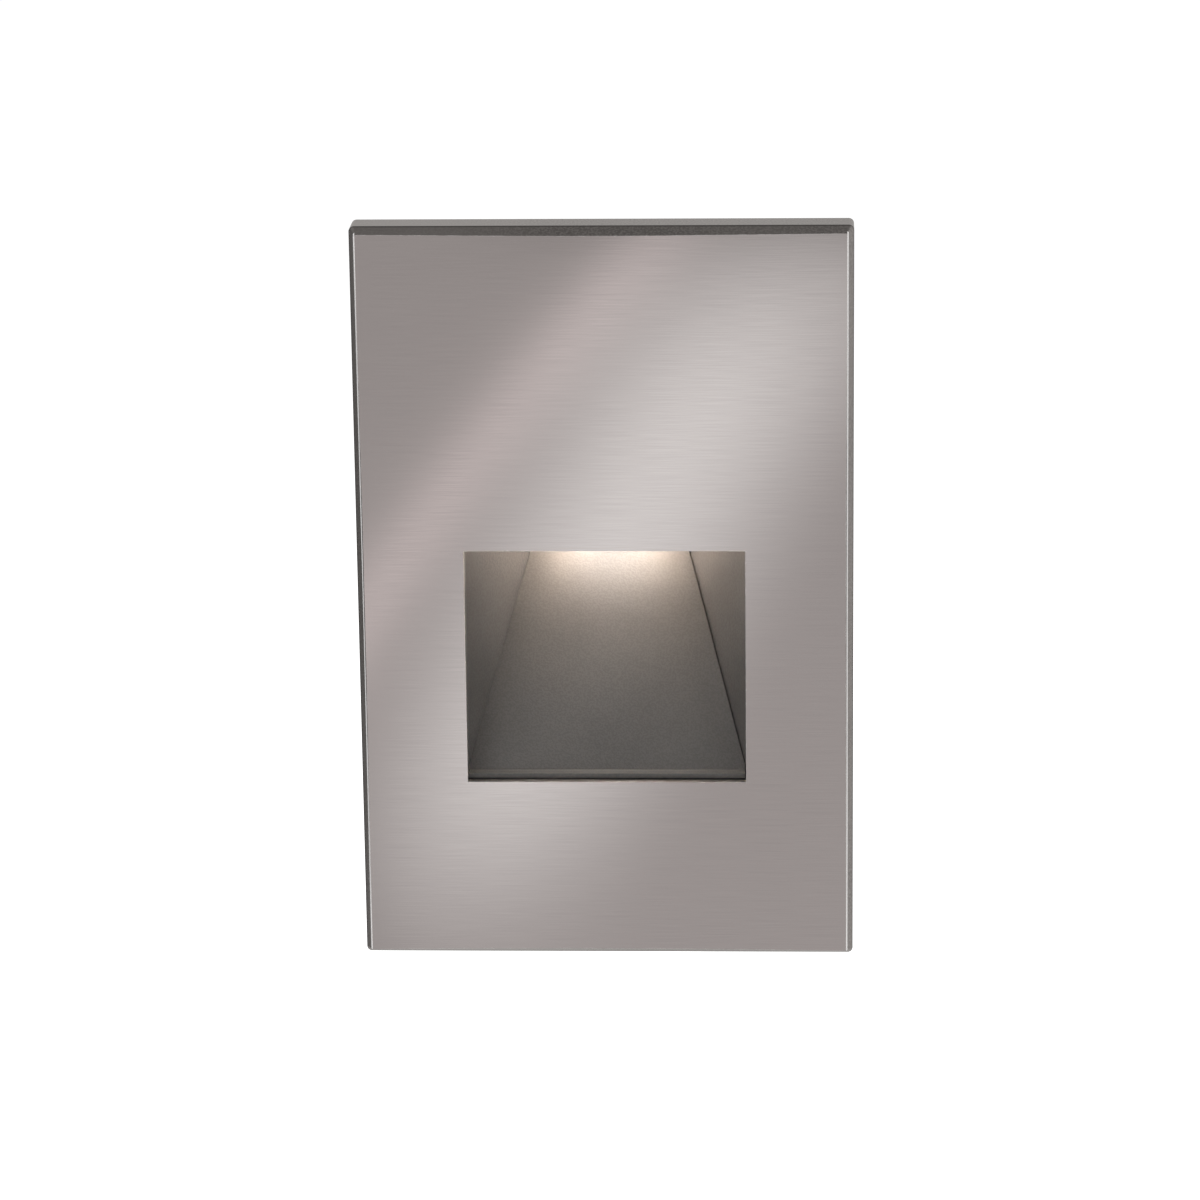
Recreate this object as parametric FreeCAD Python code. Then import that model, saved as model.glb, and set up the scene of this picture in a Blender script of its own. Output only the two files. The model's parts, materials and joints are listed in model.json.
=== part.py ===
import FreeCAD, Part

import math
import os

from FreeCAD import Vector

# Recessed LED step light for a single-gang wall box. Millimetres.
# +Z is up, +Y goes into the wall, y = 0 is the wall's surface, and the face looks along -Y.
# The origin is the middle of the two wall-box screws, on the wall's surface.

# --- How far a cutting block runs past what it opens, and when two places count as one -------
cut_past = 1.0
same_place = 1e-6

# --- Face plate: a stainless pan with a bevelled rim and a window ---------------------------
plate_width = 85.5
plate_height = 130.0
plate_depth = 8.0
plate_skin = 1.6
plate_corner_radius = 0.9
bevel_width = 1.05
bevel_depth = 2.25
bevel_bow = 0.3
face_corner_radius = 0.5
window_width = 48.4
window_height = 41.6
window_drop = 12.2
pad_width = 9.0
pad_height = 4.65
pad_spacing = 56.0
plate_thread_skin = 0.65

# --- Light niche: a straight reveal, then a ramp between walls that close in ----------------
reveal_depth = 4.5
ramp_angle = 58.0
wall_taper_angle = 25.9
niche_height_above_window = 2.4
niche_rise_length = 8.5
niche_wall = 1.5
ramp_sheet = 0.8
ramp_bond = 0.25
ramp_gap_left = 0.05
ramp_gap_right = 0.25
ramp_tape_margin = 2.0

# --- Housing: a die-cast tub around the niche, with a flange behind the plate ---------------
housing_width = 50.0
housing_height = 71.0
driver_bay_depth = 13.4
housing_wall = 2.0
housing_corner_radius = 4.0
flange_width = 70.0
flange_height = 75.0
flange_thickness = 2.5
flange_bracket_gap = 0.4
flange_screw_spacing_x = 63.0
flange_screw_spacing_z = 62.0
housing_gasket_width = 2.8
corner_post_radius = 3.6
corner_post_length = 9.0

# --- Fasteners ------------------------------------------------------------------------------
thread_clearance = 0.05
thread_end_gap = 0.3
screw_crown_share = 0.35
screw_top_share = 0.75
screw_hole_clearance = 0.15
flat_screw_radius = 1.5
flat_screw_head_radius = 2.8
flat_screw_head_height = 1.6
flat_screw_length = 5.0
set_screw_radius = 1.5
set_screw_length = 5.9
set_screw_socket = 1.5
set_screw_chamfer = 0.45
small_screw_radius = 1.25
small_screw_head_radius = 2.1
small_screw_head_height = 1.4
small_screw_length = 4.0
cover_screw_radius = 1.5
cover_screw_head_radius = 2.75
cover_screw_head_height = 1.9
cover_screw_length = 8.0

# --- Wall bracket and the screws into the wall box ------------------------------------------
bracket_width = 66.0
bracket_sheet = 1.5
bracket_lip = 6.0
bracket_bend_radius = 2.0
bracket_opening_gap = 0.8
bracket_pad_gap = 0.25
box_screw_spacing = 83.3
box_screw_radius = 1.75
box_screw_neck_radius = 1.45
box_screw_length = 25.0
box_screw_head_radius = 3.3
box_screw_head_height = 2.1
box_screw_slot_length = 9.0
box_screw_slot_radius = 2.1
slot_end_flat = 0.01
ground_screw_place = (-16.0, -47.0)
ground_screw_radius = 1.9
ground_screw_length = 4.5
ground_head_flat = 6.4
ground_head_height = 2.2
ground_washer_radius = 4.1
ground_washer_thickness = 0.6
ground_slot_depth = 0.8
ground_slot_width = 0.9
wall_gasket_width = 3.6
wall_gasket_thickness = 2.0

# --- Light source above the niche: lens, board with chips, heat sink ------------------------
lens_length_x = 20.0
lens_length_y = 15.0
lens_thickness = 2.0
lens_centre_y = 13.5
lens_bearing = 1.5
lens_corner_radius = 2.0
lens_chamfer = 0.3
lens_gasket_thickness = 0.8
retainer_wall = 1.4
retainer_lip = 0.8
retainer_ear = 4.8
retainer_ear_thickness = 2.0
retainer_ear_root_radius = 0.2
lens_edge_gap = 0.1
led_chip_size = 3.0
led_chip_height = 0.7
led_chip_spacing = 5.0
led_chip_count = 4
led_well_radius = 1.2
led_well_floor_radius = 1.0
led_well_depth = 0.2
led_board_width = 26.0
led_board_length = 23.6
led_board_thickness = 1.2
led_board_corner_radius = 1.0
led_board_screw_inset = 2.8
led_board_gap = 0.3
thermal_pad_thickness = 0.5
thermal_pad_inset = 1.0
thermal_pad_corner_radius = 0.5
heat_sink_width = 32.0
heat_sink_leg = 2.5
heat_sink_length = 27.5
heat_sink_height = 11.0
heat_sink_fin = 1.2
heat_sink_fin_count = 6
heat_sink_fillet = 1.5
heat_sink_pad = 1.5
heat_sink_pad_corner_radius = 1.0
heat_sink_fin_chamfer = 2.0

# --- Driver on the rear cover ---------------------------------------------------------------
cover_thickness = 2.0
cover_gasket_thickness = 0.8
cover_panel_width = 34.0
cover_panel_height = 42.0
cover_panel_rise = 0.8
cover_panel_radius = 4.0
cover_panel_centre_z = -7.0
driver_width = 41.0
driver_height = 50.0
driver_centre_z = -1.5
driver_thickness = 1.6
driver_post_height = 6.2
driver_post_radius = 2.6
driver_screw_inset = 3.2
driver_corner_radius = 1.5
insulator_thickness = 0.4
insulator_hole_gap = 0.1
bushing_radius = 5.0
bushing_bore_radius = 3.2
bushing_flange_radius = 6.4
bushing_flange = 1.6
bushing_centre_z = 27.0
bushing_lip = 1.2
bushing_lip_reach = 0.6
bushing_lip_face = 0.3
bushing_lead_in = 0.4
lead_radius = 0.7
lead_spacing = 5.0
lead_drop = 3.0
lead_pad_inset = 1.6

# --- Parts on the driver board: their middles as x and z, and their sizes ---------------------
transformer_place = (-9.5, -16.0)
transformer_width = 16.0
transformer_core = 6.0
transformer_height = 14.0
transformer_leg = 2.0
transformer_corner_radius = 0.5
winding_gap = 0.1
capacitor_places = ((7.0, -21.0), (15.0, -13.5))
capacitor_radius = 4.0
capacitor_height = 12.0
capacitor_bead = 0.5
capacitor_groove_up = 2.2
capacitor_groove_half = 0.8
film_capacitor_place = (5.5, -8.5)
film_capacitor_width = 11.0
film_capacitor_depth = 5.0
film_capacitor_height = 10.0
film_capacitor_corner_radius = 0.8
choke_place = (-13.0, -1.5)
choke_radius = 4.5
choke_height = 8.0
choke_flange = 1.2
choke_winding_inset = 0.65
fuse_place = (14.0, 2.5)
fuse_radius = 4.2
fuse_height = 7.5
fuse_edge_radius = 0.6
rectifier_place = (2.0, 2.5)
rectifier_size = 8.0
rectifier_height = 2.8
rectifier_corner_cut = 2.0
chip_place = (-9.5, 10.0)
chip_width = 3.9
chip_length = 5.0
chip_height = 1.6
chip_leg_pitch = 1.27
chip_legs_per_side = 4
chip_leg_width = 0.4
chip_leg_thickness = 0.3
chip_leg_reach = 1.9
chip_standoff = 0.16
chip_corner_radius = 0.2
resistor_place = (6.5, 13.0)
resistor_count = 2
resistor_pitch = 3.2
resistor_length = 6.0
resistor_radius = 1.1
resistor_leg_half = 0.37
resistor_leg_inset = 0.6
resistor_leg_inner = 0.8
resistor_leg_outer = 1.4

# --- Places that follow from those sizes ----------------------------------------------------
FACE_Y = -plate_depth
SKIN_BACK_Y = FACE_Y + plate_skin
FLANGE_BACK_Y = -bracket_sheet - flange_bracket_gap
FLANGE_FRONT_Y = FLANGE_BACK_Y - flange_thickness
REVEAL_END_Y = FACE_Y + reveal_depth
WINDOW_TOP_Z = window_height / 2 - window_drop
WINDOW_BOTTOM_Z = -window_height / 2 - window_drop
CEILING_Z = WINDOW_TOP_Z + niche_height_above_window
RAMP_SLOPE = math.tan(math.radians(ramp_angle))
WALL_SLOPE = math.tan(math.radians(wall_taper_angle))
NICHE_BACK_Y = REVEAL_END_Y + (CEILING_Z - WINDOW_BOTTOM_Z) / RAMP_SLOPE
LENS_SEAT_Z = CEILING_Z + niche_wall
LENS_BOTTOM_Z = LENS_SEAT_Z + lens_gasket_thickness
LENS_TOP_Z = LENS_BOTTOM_Z + lens_thickness
RETAINER_TOP_Z = LENS_TOP_Z + retainer_lip
BOARD_BOTTOM_Z = RETAINER_TOP_Z + led_board_gap + small_screw_head_height
BOARD_TOP_Z = BOARD_BOTTOM_Z + led_board_thickness
SINK_BOTTOM_Z = BOARD_TOP_Z + thermal_pad_thickness
SINK_FRONT_Y = FLANGE_FRONT_Y + housing_wall + heat_sink_pad
SINK_BACK_Y = SINK_FRONT_Y + heat_sink_length
HOUSING_END_Y = max(NICHE_BACK_Y + niche_wall, SINK_BACK_Y) + driver_bay_depth
COVER_FRONT_Y = HOUSING_END_Y + cover_gasket_thickness
COVER_BACK_Y = COVER_FRONT_Y + cover_thickness
DRIVER_BACK_Y = COVER_FRONT_Y - driver_post_height
DRIVER_FRONT_Y = DRIVER_BACK_Y - driver_thickness
PAN_INNER_WIDTH = plate_width - 2 * plate_skin
PAN_INNER_HEIGHT = plate_height - 2 * plate_skin
PAD_INNER_Z = PAN_INNER_HEIGHT / 2 - pad_height
BRACKET_LIP_Z = PAD_INNER_Z - bracket_pad_gap
X_AXIS = Vector(1, 0, 0)
Y_AXIS = Vector(0, 1, 0)
Z_AXIS = Vector(0, 0, 1)


def rounded_outline(width, height, radius, y, centre_x=0.0, centre_z=0.0, bow=0.0):
    """Rectangle with round corners in the plane at y; bow draws its sides in at their middles."""
    half_w = width / 2
    half_h = height / 2
    centre = Vector(centre_x, y, centre_z)
    middles = (Vector(0, 0, half_h - bow), Vector(bow - half_w, 0, 0),
               Vector(0, 0, bow - half_h), Vector(half_w - bow, 0, 0))
    arcs = []
    for sign_x, sign_z, start in ((1, 1, 0), (-1, 1, 90), (-1, -1, 180), (1, -1, 270)):
        corner = centre + Vector(sign_x * (half_w - radius), 0, sign_z * (half_h - radius))
        arcs.append([corner + turned(start + turn) * radius for turn in (0, 45, 90)])
    edges = []
    for arc, next_arc, middle in zip(arcs, arcs[1:] + arcs[:1], middles):
        edges.append(Part.Arc(*arc).toShape())
        if bow > 0:
            edges.append(Part.Arc(arc[2], centre + middle, next_arc[0]).toShape())
        else:
            edges.append(Part.LineSegment(arc[2], next_arc[0]).toShape())
    return Part.Wire(edges)


def turned(degrees):
    """Unit vector in the XZ plane, turned from +X towards +Z."""
    return Vector(math.cos(math.radians(degrees)), 0, math.sin(math.radians(degrees)))


def slab(width, height, radius, y_from, y_to, centre_x=0.0, centre_z=0.0):
    """Rounded rectangle in the XZ plane, extruded from y_from to y_to."""
    outline = rounded_outline(width, height, radius, y_from, centre_x, centre_z)
    return Part.Face(outline).extrude(Y_AXIS * (y_to - y_from))


def flat_slab(length_x, length_y, radius, z_from, z_to, centre_y=0.0):
    """Rounded rectangle in the XY plane, extruded from z_from to z_to."""
    upright = slab(length_x, length_y, radius, 0, z_to - z_from)
    upright.rotate(Vector(0, 0, 0), X_AXIS, 90)
    upright.translate(Vector(0, centre_y, z_from))
    return upright


def side_profile(points, half_width):
    """Polygon in the YZ plane, extruded along X to both sides."""
    wire = Part.makePolygon([Vector(-half_width, y, z) for y, z in points + points[:1]])
    return Part.Face(wire).extrude(Vector(2 * half_width, 0, 0))


def plan_profile(points, z_from, z_to):
    """Polygon in the XY plane, extruded along Z."""
    wire = Part.makePolygon([Vector(x, y, z_from) for x, y in points + points[:1]])
    return Part.Face(wire).extrude(Vector(0, 0, z_to - z_from))


def rod(radius, start, end):
    """Cylinder from start to end."""
    axis = end - start
    return Part.makeCylinder(radius, axis.Length, start, axis)


def cone(radius_start, radius_end, start, end):
    """Cone frustum from start to end."""
    axis = end - start
    return Part.makeCone(radius_start, radius_end, axis.Length, start, axis)


def hexagon_prism(across_flats, base, axis, length):
    """Hexagonal prism on base along axis, -Y or Z, with a corner towards +X."""
    corner_radius = across_flats / 2 / math.cos(math.radians(30))
    corners = [turned(turn) * corner_radius for turn in range(0, 361, 60)]
    prism = Part.Face(Part.makePolygon(corners)).extrude(Y_AXIS * length)
    if axis == Z_AXIS:
        prism.rotate(Vector(0, 0, 0), X_AXIS, 90)
    elif axis == -Y_AXIS:
        prism.translate(-Y_AXIS * length)
    prism.translate(base)
    return prism


def mirrored_places(spacing_x, spacing_z):
    """The four corners of a rectangle, as x and z."""
    return [(sx * spacing_x / 2, sz * spacing_z / 2) for sx in (-1, 1) for sz in (-1, 1)]


def fuse_all(shapes):
    """One solid from several that touch or overlap."""
    return shapes[0].multiFuse(shapes[1:]).removeSplitter()


def pan_head_screw(head_seat, axis, radius, length, head_radius, head_height):
    """Pan-head screw: the head stands on head_seat, the shank goes from there along axis."""
    crown = head_height * screw_crown_share
    brim = head_seat - axis * (head_height - crown)
    head = rod(head_radius, head_seat, brim)
    dome = cone(head_radius, head_radius * screw_top_share, brim, head_seat - axis * head_height)
    shank = rod(radius, head_seat, head_seat + axis * length)
    return fuse_all([head, dome, shank])


def window_cut(y_from, y_to, grow=0.0):
    """The window's rectangle, grown on every side, as a cutting block."""
    return Part.makeBox(window_width + 2 * grow, y_to - y_from, window_height + 2 * grow,
                        Vector(-window_width / 2 - grow, y_from, WINDOW_BOTTOM_Z - grow))


def flange_screw_places():
    """Where the housing's flange is screwed to the plate, as x and z."""
    return mirrored_places(flange_screw_spacing_x, flange_screw_spacing_z)


def set_screw_places():
    """Middle of each set screw at the bottom rim, as x and y."""
    middle_y = (SKIN_BACK_Y - wall_gasket_thickness) / 2
    return [(side * pad_spacing / 2, middle_y) for side in (-1, 1)]


def face_plate():
    """Stainless pan: bevelled front, window, screw bosses, and pads that sit on the bracket."""
    side_end_y = FACE_Y + bevel_depth
    sides = slab(plate_width, plate_height, plate_corner_radius, side_end_y, 0)
    bevel = Part.makeLoft([
        rounded_outline(plate_width, plate_height, plate_corner_radius, side_end_y),
        rounded_outline(plate_width - 2 * bevel_width, plate_height - 2 * bevel_width,
                        face_corner_radius, FACE_Y, bow=bevel_bow)], True, True)
    pan = sides.fuse(bevel)
    hollow = slab(PAN_INNER_WIDTH, PAN_INNER_HEIGHT, plate_corner_radius, SKIN_BACK_Y, cut_past)
    pan = pan.cut(hollow)
    additions = []
    for x, z in flange_screw_places():
        boss = rod(flat_screw_head_radius, Vector(x, SKIN_BACK_Y - plate_skin / 2, z),
                   Vector(x, FLANGE_FRONT_Y, z))
        additions.append(boss)
    root = plate_skin / 2
    for x, y in set_screw_places():
        for low_z in (PAD_INNER_Z, -PAD_INNER_Z - pad_height - root):
            pad = Part.makeBox(pad_width, -wall_gasket_thickness - SKIN_BACK_Y + root, pad_height + root,
                               Vector(x - pad_width / 2, SKIN_BACK_Y - root, low_z))
            additions.append(pad)
    pan = fuse_all([pan] + additions)
    cuts = [window_cut(FACE_Y - cut_past, 0)]
    for x, z in flange_screw_places():
        cuts.append(rod(flat_screw_radius + thread_clearance,
                        Vector(x, FACE_Y + plate_thread_skin, z), Vector(x, 0, z)))
    for x, y in set_screw_places():
        cuts.append(rod(set_screw_radius + thread_clearance,
                        Vector(x, y, -plate_height / 2 - cut_past), Vector(x, y, -PAD_INNER_Z + cut_past)))
    return pan.cut(Part.makeCompound(cuts))


def set_screws():
    """Two socket set screws in the bottom rim, which clamp on the bracket's lower lip."""
    tip_z = -BRACKET_LIP_Z - bracket_pad_gap
    screws = []
    for x, y in set_screw_places():
        tip = Vector(x, y, tip_z)
        end = Vector(x, y, tip_z - set_screw_length)
        shoulder = tip - Z_AXIS * set_screw_chamfer
        shank = rod(set_screw_radius, shoulder, end)
        point = cone(set_screw_radius - set_screw_chamfer, set_screw_radius, tip, shoulder)
        socket = hexagon_prism(set_screw_socket, end, Z_AXIS, set_screw_socket)
        screws.append(fuse_all([shank, point]).cut(socket))
    return screws


def niche_block(grow, front_y):
    """The niche's space as a solid, with every wall moved out by grow."""
    ceiling = CEILING_Z + grow
    ramp_shift = grow / math.sin(math.radians(ramp_angle))
    floor = WINDOW_BOTTOM_Z - grow
    sill_end = REVEAL_END_Y + ramp_shift - grow / RAMP_SLOPE
    ramp_top_y = sill_end + (ceiling - floor) / RAMP_SLOPE
    side = side_profile([
        (front_y, floor),
        (sill_end, floor),
        (ramp_top_y, ceiling),
        (REVEAL_END_Y + niche_rise_length, ceiling),
        (REVEAL_END_Y, WINDOW_TOP_Z + grow),
        (front_y, WINDOW_TOP_Z + grow)], window_width)
    far_y = ramp_top_y + cut_past
    half_front = window_width / 2 + grow / math.cos(math.radians(wall_taper_angle))
    half_far = half_front - (far_y - REVEAL_END_Y) * WALL_SLOPE
    half_mouth = window_width / 2 + grow
    bend_y = REVEAL_END_Y + (half_front - half_mouth) / WALL_SLOPE
    plan = plan_profile([
        (-half_mouth, front_y), (half_mouth, front_y), (half_mouth, bend_y),
        (half_far, far_y), (-half_far, far_y), (-half_mouth, bend_y)], floor - cut_past, ceiling + cut_past)
    return side.common(plan)


def lens_aperture():
    """Opening in the niche's ceiling under the lens."""
    return flat_slab(lens_length_x - 2 * lens_bearing, lens_length_y - 2 * lens_bearing,
                     lens_corner_radius, CEILING_Z - cut_past, LENS_SEAT_Z + cut_past, lens_centre_y)


def corner_post_places():
    """Middles of the four screw posts in the housing's corners, as x and z."""
    inset = 2 * (housing_wall / 2 + corner_post_radius)
    return mirrored_places(housing_width - inset, housing_height - inset)


def retainer_screw_places():
    """Middles of the lens frame's two screws, as x and y."""
    reach = lens_length_x / 2 + lens_edge_gap + retainer_wall + retainer_ear / 2
    return [(side * reach, lens_centre_y) for side in (-1, 1)]


def fin_pitch():
    """Distance between the heat sink's fins."""
    return (heat_sink_width - heat_sink_fin) / (heat_sink_fin_count - 1)


def heat_sink_screw_places():
    """Middles of the two screws between the outer fins, which hold the heat sink."""
    z = SINK_BOTTOM_Z + heat_sink_height - small_screw_head_radius - heat_sink_pad_corner_radius
    return [(side * 2 * fin_pitch(), z) for side in (-1, 1)]


def housing_envelope(front_y):
    """Space the housing may fill: the tub's outline behind the flange, the flange's before it."""
    tub = slab(housing_width, housing_height, housing_corner_radius, FLANGE_BACK_Y, HOUSING_END_Y)
    return tub.fuse(slab(flange_width, flange_height, housing_corner_radius, front_y, FLANGE_BACK_Y))


def housing():
    """Die-cast tub with a flange in front, the niche inside and screw posts at the rear."""
    inner_radius = housing_corner_radius - housing_wall
    room = slab(housing_width - 2 * housing_wall, housing_height - 2 * housing_wall, inner_radius,
                FLANGE_FRONT_Y + housing_wall, HOUSING_END_Y + cut_past)
    shell = housing_envelope(FLANGE_FRONT_Y).cut(room)
    additions = [niche_block(niche_wall, SKIN_BACK_Y).common(housing_envelope(SKIN_BACK_Y))]
    for x, z in corner_post_places():
        post = rod(corner_post_radius, Vector(x, HOUSING_END_Y - corner_post_length, z),
                   Vector(x, HOUSING_END_Y, z))
        additions.append(post.common(housing_envelope(FLANGE_FRONT_Y)))
    for x, y in retainer_screw_places():
        additions.append(rod(retainer_ear / 2, Vector(x, y, CEILING_Z + niche_wall / 2),
                             Vector(x, y, RETAINER_TOP_Z - retainer_ear_thickness)))
    additions.append(slab(heat_sink_width, heat_sink_height, heat_sink_pad_corner_radius,
                          FLANGE_FRONT_Y + housing_wall / 2, SINK_FRONT_Y, 0,
                          SINK_BOTTOM_Z + heat_sink_height / 2))
    shell = fuse_all([shell] + additions)
    cuts = [niche_block(0, SKIN_BACK_Y - cut_past), lens_aperture()]
    for x, z in flange_screw_places():
        cuts.append(rod(flat_screw_radius + screw_hole_clearance, Vector(x, FLANGE_FRONT_Y - cut_past, z),
                        Vector(x, FLANGE_BACK_Y + cut_past, z)))
        cuts.append(cone(flat_screw_radius + thread_clearance, flat_screw_head_radius + thread_clearance,
                         Vector(x, FLANGE_BACK_Y - flat_screw_head_height, z),
                         Vector(x, FLANGE_BACK_Y, z)))
    for x, z in corner_post_places():
        cuts.append(rod(cover_screw_radius + thread_clearance,
                        Vector(x, HOUSING_END_Y - corner_post_length + cut_past, z),
                        Vector(x, HOUSING_END_Y + cut_past, z)))
    for x, y in retainer_screw_places():
        cuts.append(rod(small_screw_radius + thread_clearance,
                        Vector(x, y, RETAINER_TOP_Z - small_screw_length - thread_end_gap),
                        Vector(x, y, RETAINER_TOP_Z)))
    for x, z in heat_sink_screw_places():
        cuts.append(rod(small_screw_radius + thread_clearance,
                        Vector(x, SINK_FRONT_Y + heat_sink_leg - small_screw_length - thread_end_gap, z),
                        Vector(x, SINK_FRONT_Y + cut_past, z)))
    return shell.cut(Part.makeCompound(cuts))


def housing_gasket():
    """Foam ring between the plate and the housing's flange, around the niche's mouth."""
    width = window_width + 2 * (niche_wall + housing_gasket_width)
    height = window_height + 2 * (niche_wall + housing_gasket_width)
    ring = slab(width, height, housing_gasket_width, SKIN_BACK_Y, FLANGE_FRONT_Y, 0, -window_drop)
    return ring.cut(window_cut(SKIN_BACK_Y, FLANGE_FRONT_Y, niche_wall))


def housing_screws():
    """Four countersunk screws through the flange into the plate's bosses."""
    screws = []
    for x, z in flange_screw_places():
        seat = Vector(x, FLANGE_BACK_Y, z)
        neck = seat - Y_AXIS * flat_screw_head_height
        tip = seat - Y_AXIS * flat_screw_length
        head = cone(flat_screw_head_radius, flat_screw_radius, seat, neck)
        screws.append(fuse_all([head, rod(flat_screw_radius, neck, tip)]))
    return screws


def ramp_profile(low, high, front_y, top_z):
    """Side profile of a sheet on the sill and the ramp, between two offsets into the niche."""
    sine = math.sin(math.radians(ramp_angle))
    outline = []
    for offset in (low, high):
        bend_y = REVEAL_END_Y - offset / sine + offset / RAMP_SLOPE
        top_y = REVEAL_END_Y - offset / sine + (top_z - WINDOW_BOTTOM_Z) / RAMP_SLOPE
        outline.append([(front_y, WINDOW_BOTTOM_Z + offset), (bend_y, WINDOW_BOTTOM_Z + offset),
                        (top_y, top_z)])
    return side_profile(outline[0] + outline[1][::-1], window_width)


def ramp_side(gap):
    """One side of the niche seen from above, drawn in by gap, from its mouth to its far end."""
    half_mouth = window_width / 2 - gap
    half_front = window_width / 2 - gap / math.cos(math.radians(wall_taper_angle))
    bend_y = REVEAL_END_Y + (half_front - half_mouth) / WALL_SLOPE
    half_far = half_front - (NICHE_BACK_Y + cut_past - REVEAL_END_Y) * WALL_SLOPE
    return [(half_mouth, FACE_Y), (half_mouth, bend_y), (half_far, NICHE_BACK_Y + cut_past)]


def ramp_plan(gap_left, gap_right):
    """Outline of the niche seen from above, with its two sides drawn in."""
    left = [(-x, y) for x, y in ramp_side(gap_left)]
    return plan_profile(ramp_side(gap_right) + left[::-1], WINDOW_BOTTOM_Z - cut_past,
                        CEILING_Z + cut_past)


def reflector_ramp():
    """Bent sheet that lies on the niche's sill and ramp and throws the light forward."""
    profile = ramp_profile(ramp_bond, ramp_bond + ramp_sheet, SKIN_BACK_Y, CEILING_Z - ramp_sheet)
    return profile.common(ramp_plan(ramp_gap_left, ramp_gap_right))


def ramp_tape():
    """Adhesive tape under the ramp's sheet."""
    profile = ramp_profile(0, ramp_bond, SKIN_BACK_Y + ramp_tape_margin, CEILING_Z - 2 * ramp_sheet)
    return profile.common(ramp_plan(ramp_tape_margin, ramp_tape_margin))


def lens_gasket():
    """Rubber ring under the lens."""
    ring = flat_slab(lens_length_x, lens_length_y, lens_corner_radius,
                     LENS_SEAT_Z, LENS_BOTTOM_Z, lens_centre_y)
    return ring.cut(lens_aperture_column())


def lens_aperture_column():
    """The lens's clear opening as a tall cutting block."""
    return flat_slab(lens_length_x - 2 * lens_bearing, lens_length_y - 2 * lens_bearing,
                     lens_corner_radius, CEILING_Z, BOARD_TOP_Z, lens_centre_y)


def led_lens():
    """Frosted glass window that closes the light chamber."""
    glass = flat_slab(lens_length_x, lens_length_y, lens_corner_radius,
                      LENS_BOTTOM_Z, LENS_TOP_Z, lens_centre_y)
    rims = [edge for face in glass.Faces if abs(face.normalAt(0, 0).z) > 0.9 for edge in face.Edges]
    return glass.makeChamfer(lens_chamfer, rims)


def lens_retainer():
    """Frame that presses the lens on its gasket, with an ear for a screw at each side."""
    reach = 2 * (lens_edge_gap + retainer_wall)
    frame = flat_slab(lens_length_x + reach, lens_length_y + reach, lens_corner_radius + retainer_wall,
                      LENS_SEAT_Z, RETAINER_TOP_Z, lens_centre_y)
    ear_bottom = RETAINER_TOP_Z - retainer_ear_thickness
    ears = []
    for x, y in retainer_screw_places():
        ears.append(rod(retainer_ear / 2, Vector(x, y, ear_bottom), Vector(x, y, RETAINER_TOP_Z)))
        root = flat_slab(retainer_ear, retainer_ear, retainer_ear_root_radius, ear_bottom,
                         RETAINER_TOP_Z, y)
        ears.append(root.translated(Vector(x - math.copysign(retainer_ear / 2, x), 0, 0)))
    frame = fuse_all([frame] + ears)
    pocket = flat_slab(lens_length_x + 2 * lens_edge_gap, lens_length_y + 2 * lens_edge_gap,
                       lens_corner_radius, LENS_SEAT_Z - cut_past, LENS_TOP_Z, lens_centre_y)
    cuts = [pocket, lens_aperture_column()]
    for x, y in retainer_screw_places():
        cuts.append(rod(small_screw_radius + screw_hole_clearance, Vector(x, y, LENS_SEAT_Z),
                        Vector(x, y, RETAINER_TOP_Z + cut_past)))
    return frame.cut(Part.makeCompound(cuts))


def small_screw(seat, axis):
    """One of the small pan-head screws."""
    return pan_head_screw(seat, axis, small_screw_radius, small_screw_length,
                          small_screw_head_radius, small_screw_head_height)


def lens_retainer_screws():
    """Two screws that pull the lens frame down."""
    return [small_screw(Vector(x, y, RETAINER_TOP_Z), -Z_AXIS) for x, y in retainer_screw_places()]


def led_board_screw_places():
    """Middles of the two screws at opposite corners of the light board, as x and y."""
    reach_x = led_board_width / 2 - led_board_screw_inset
    reach_y = led_board_length / 2 - led_board_screw_inset
    return [(side * reach_x, lens_centre_y + side * reach_y) for side in (-1, 1)]


def led_board_screws():
    """Two screws from below through the light board into the heat sink."""
    return [small_screw(Vector(x, y, BOARD_BOTTOM_Z), Z_AXIS)
            for x, y in led_board_screw_places()]


def led_board():
    """Aluminium-core board that carries the light chips on its underside."""
    board = flat_slab(led_board_width, led_board_length, led_board_corner_radius, BOARD_BOTTOM_Z,
                      BOARD_TOP_Z, lens_centre_y)
    holes = [rod(small_screw_radius + screw_hole_clearance, Vector(x, y, BOARD_BOTTOM_Z - cut_past),
                 Vector(x, y, BOARD_TOP_Z + cut_past)) for x, y in led_board_screw_places()]
    return board.cut(Part.makeCompound(holes))


def thermal_pad():
    """Soft pad between the light board and the heat sink, between the two screws."""
    length = led_board_length - 2 * (led_board_screw_inset + small_screw_head_radius)
    return flat_slab(led_board_width - 2 * thermal_pad_inset, length, thermal_pad_corner_radius,
                     BOARD_TOP_Z, SINK_BOTTOM_Z, lens_centre_y)


def led_chips():
    """Row of light chips, each a square package with a round phosphor well."""
    chips = []
    for index in range(led_chip_count):
        x = (index - (led_chip_count - 1) / 2) * led_chip_spacing
        body = Part.makeBox(led_chip_size, led_chip_size, led_chip_height, Vector(
            x - led_chip_size / 2, lens_centre_y - led_chip_size / 2, BOARD_BOTTOM_Z - led_chip_height))
        well_mouth = Vector(x, lens_centre_y, BOARD_BOTTOM_Z - led_chip_height)
        well = cone(led_well_radius, led_well_floor_radius, well_mouth,
                    well_mouth + Z_AXIS * led_well_depth)
        chips.append(body.cut(well))
    return chips


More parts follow.
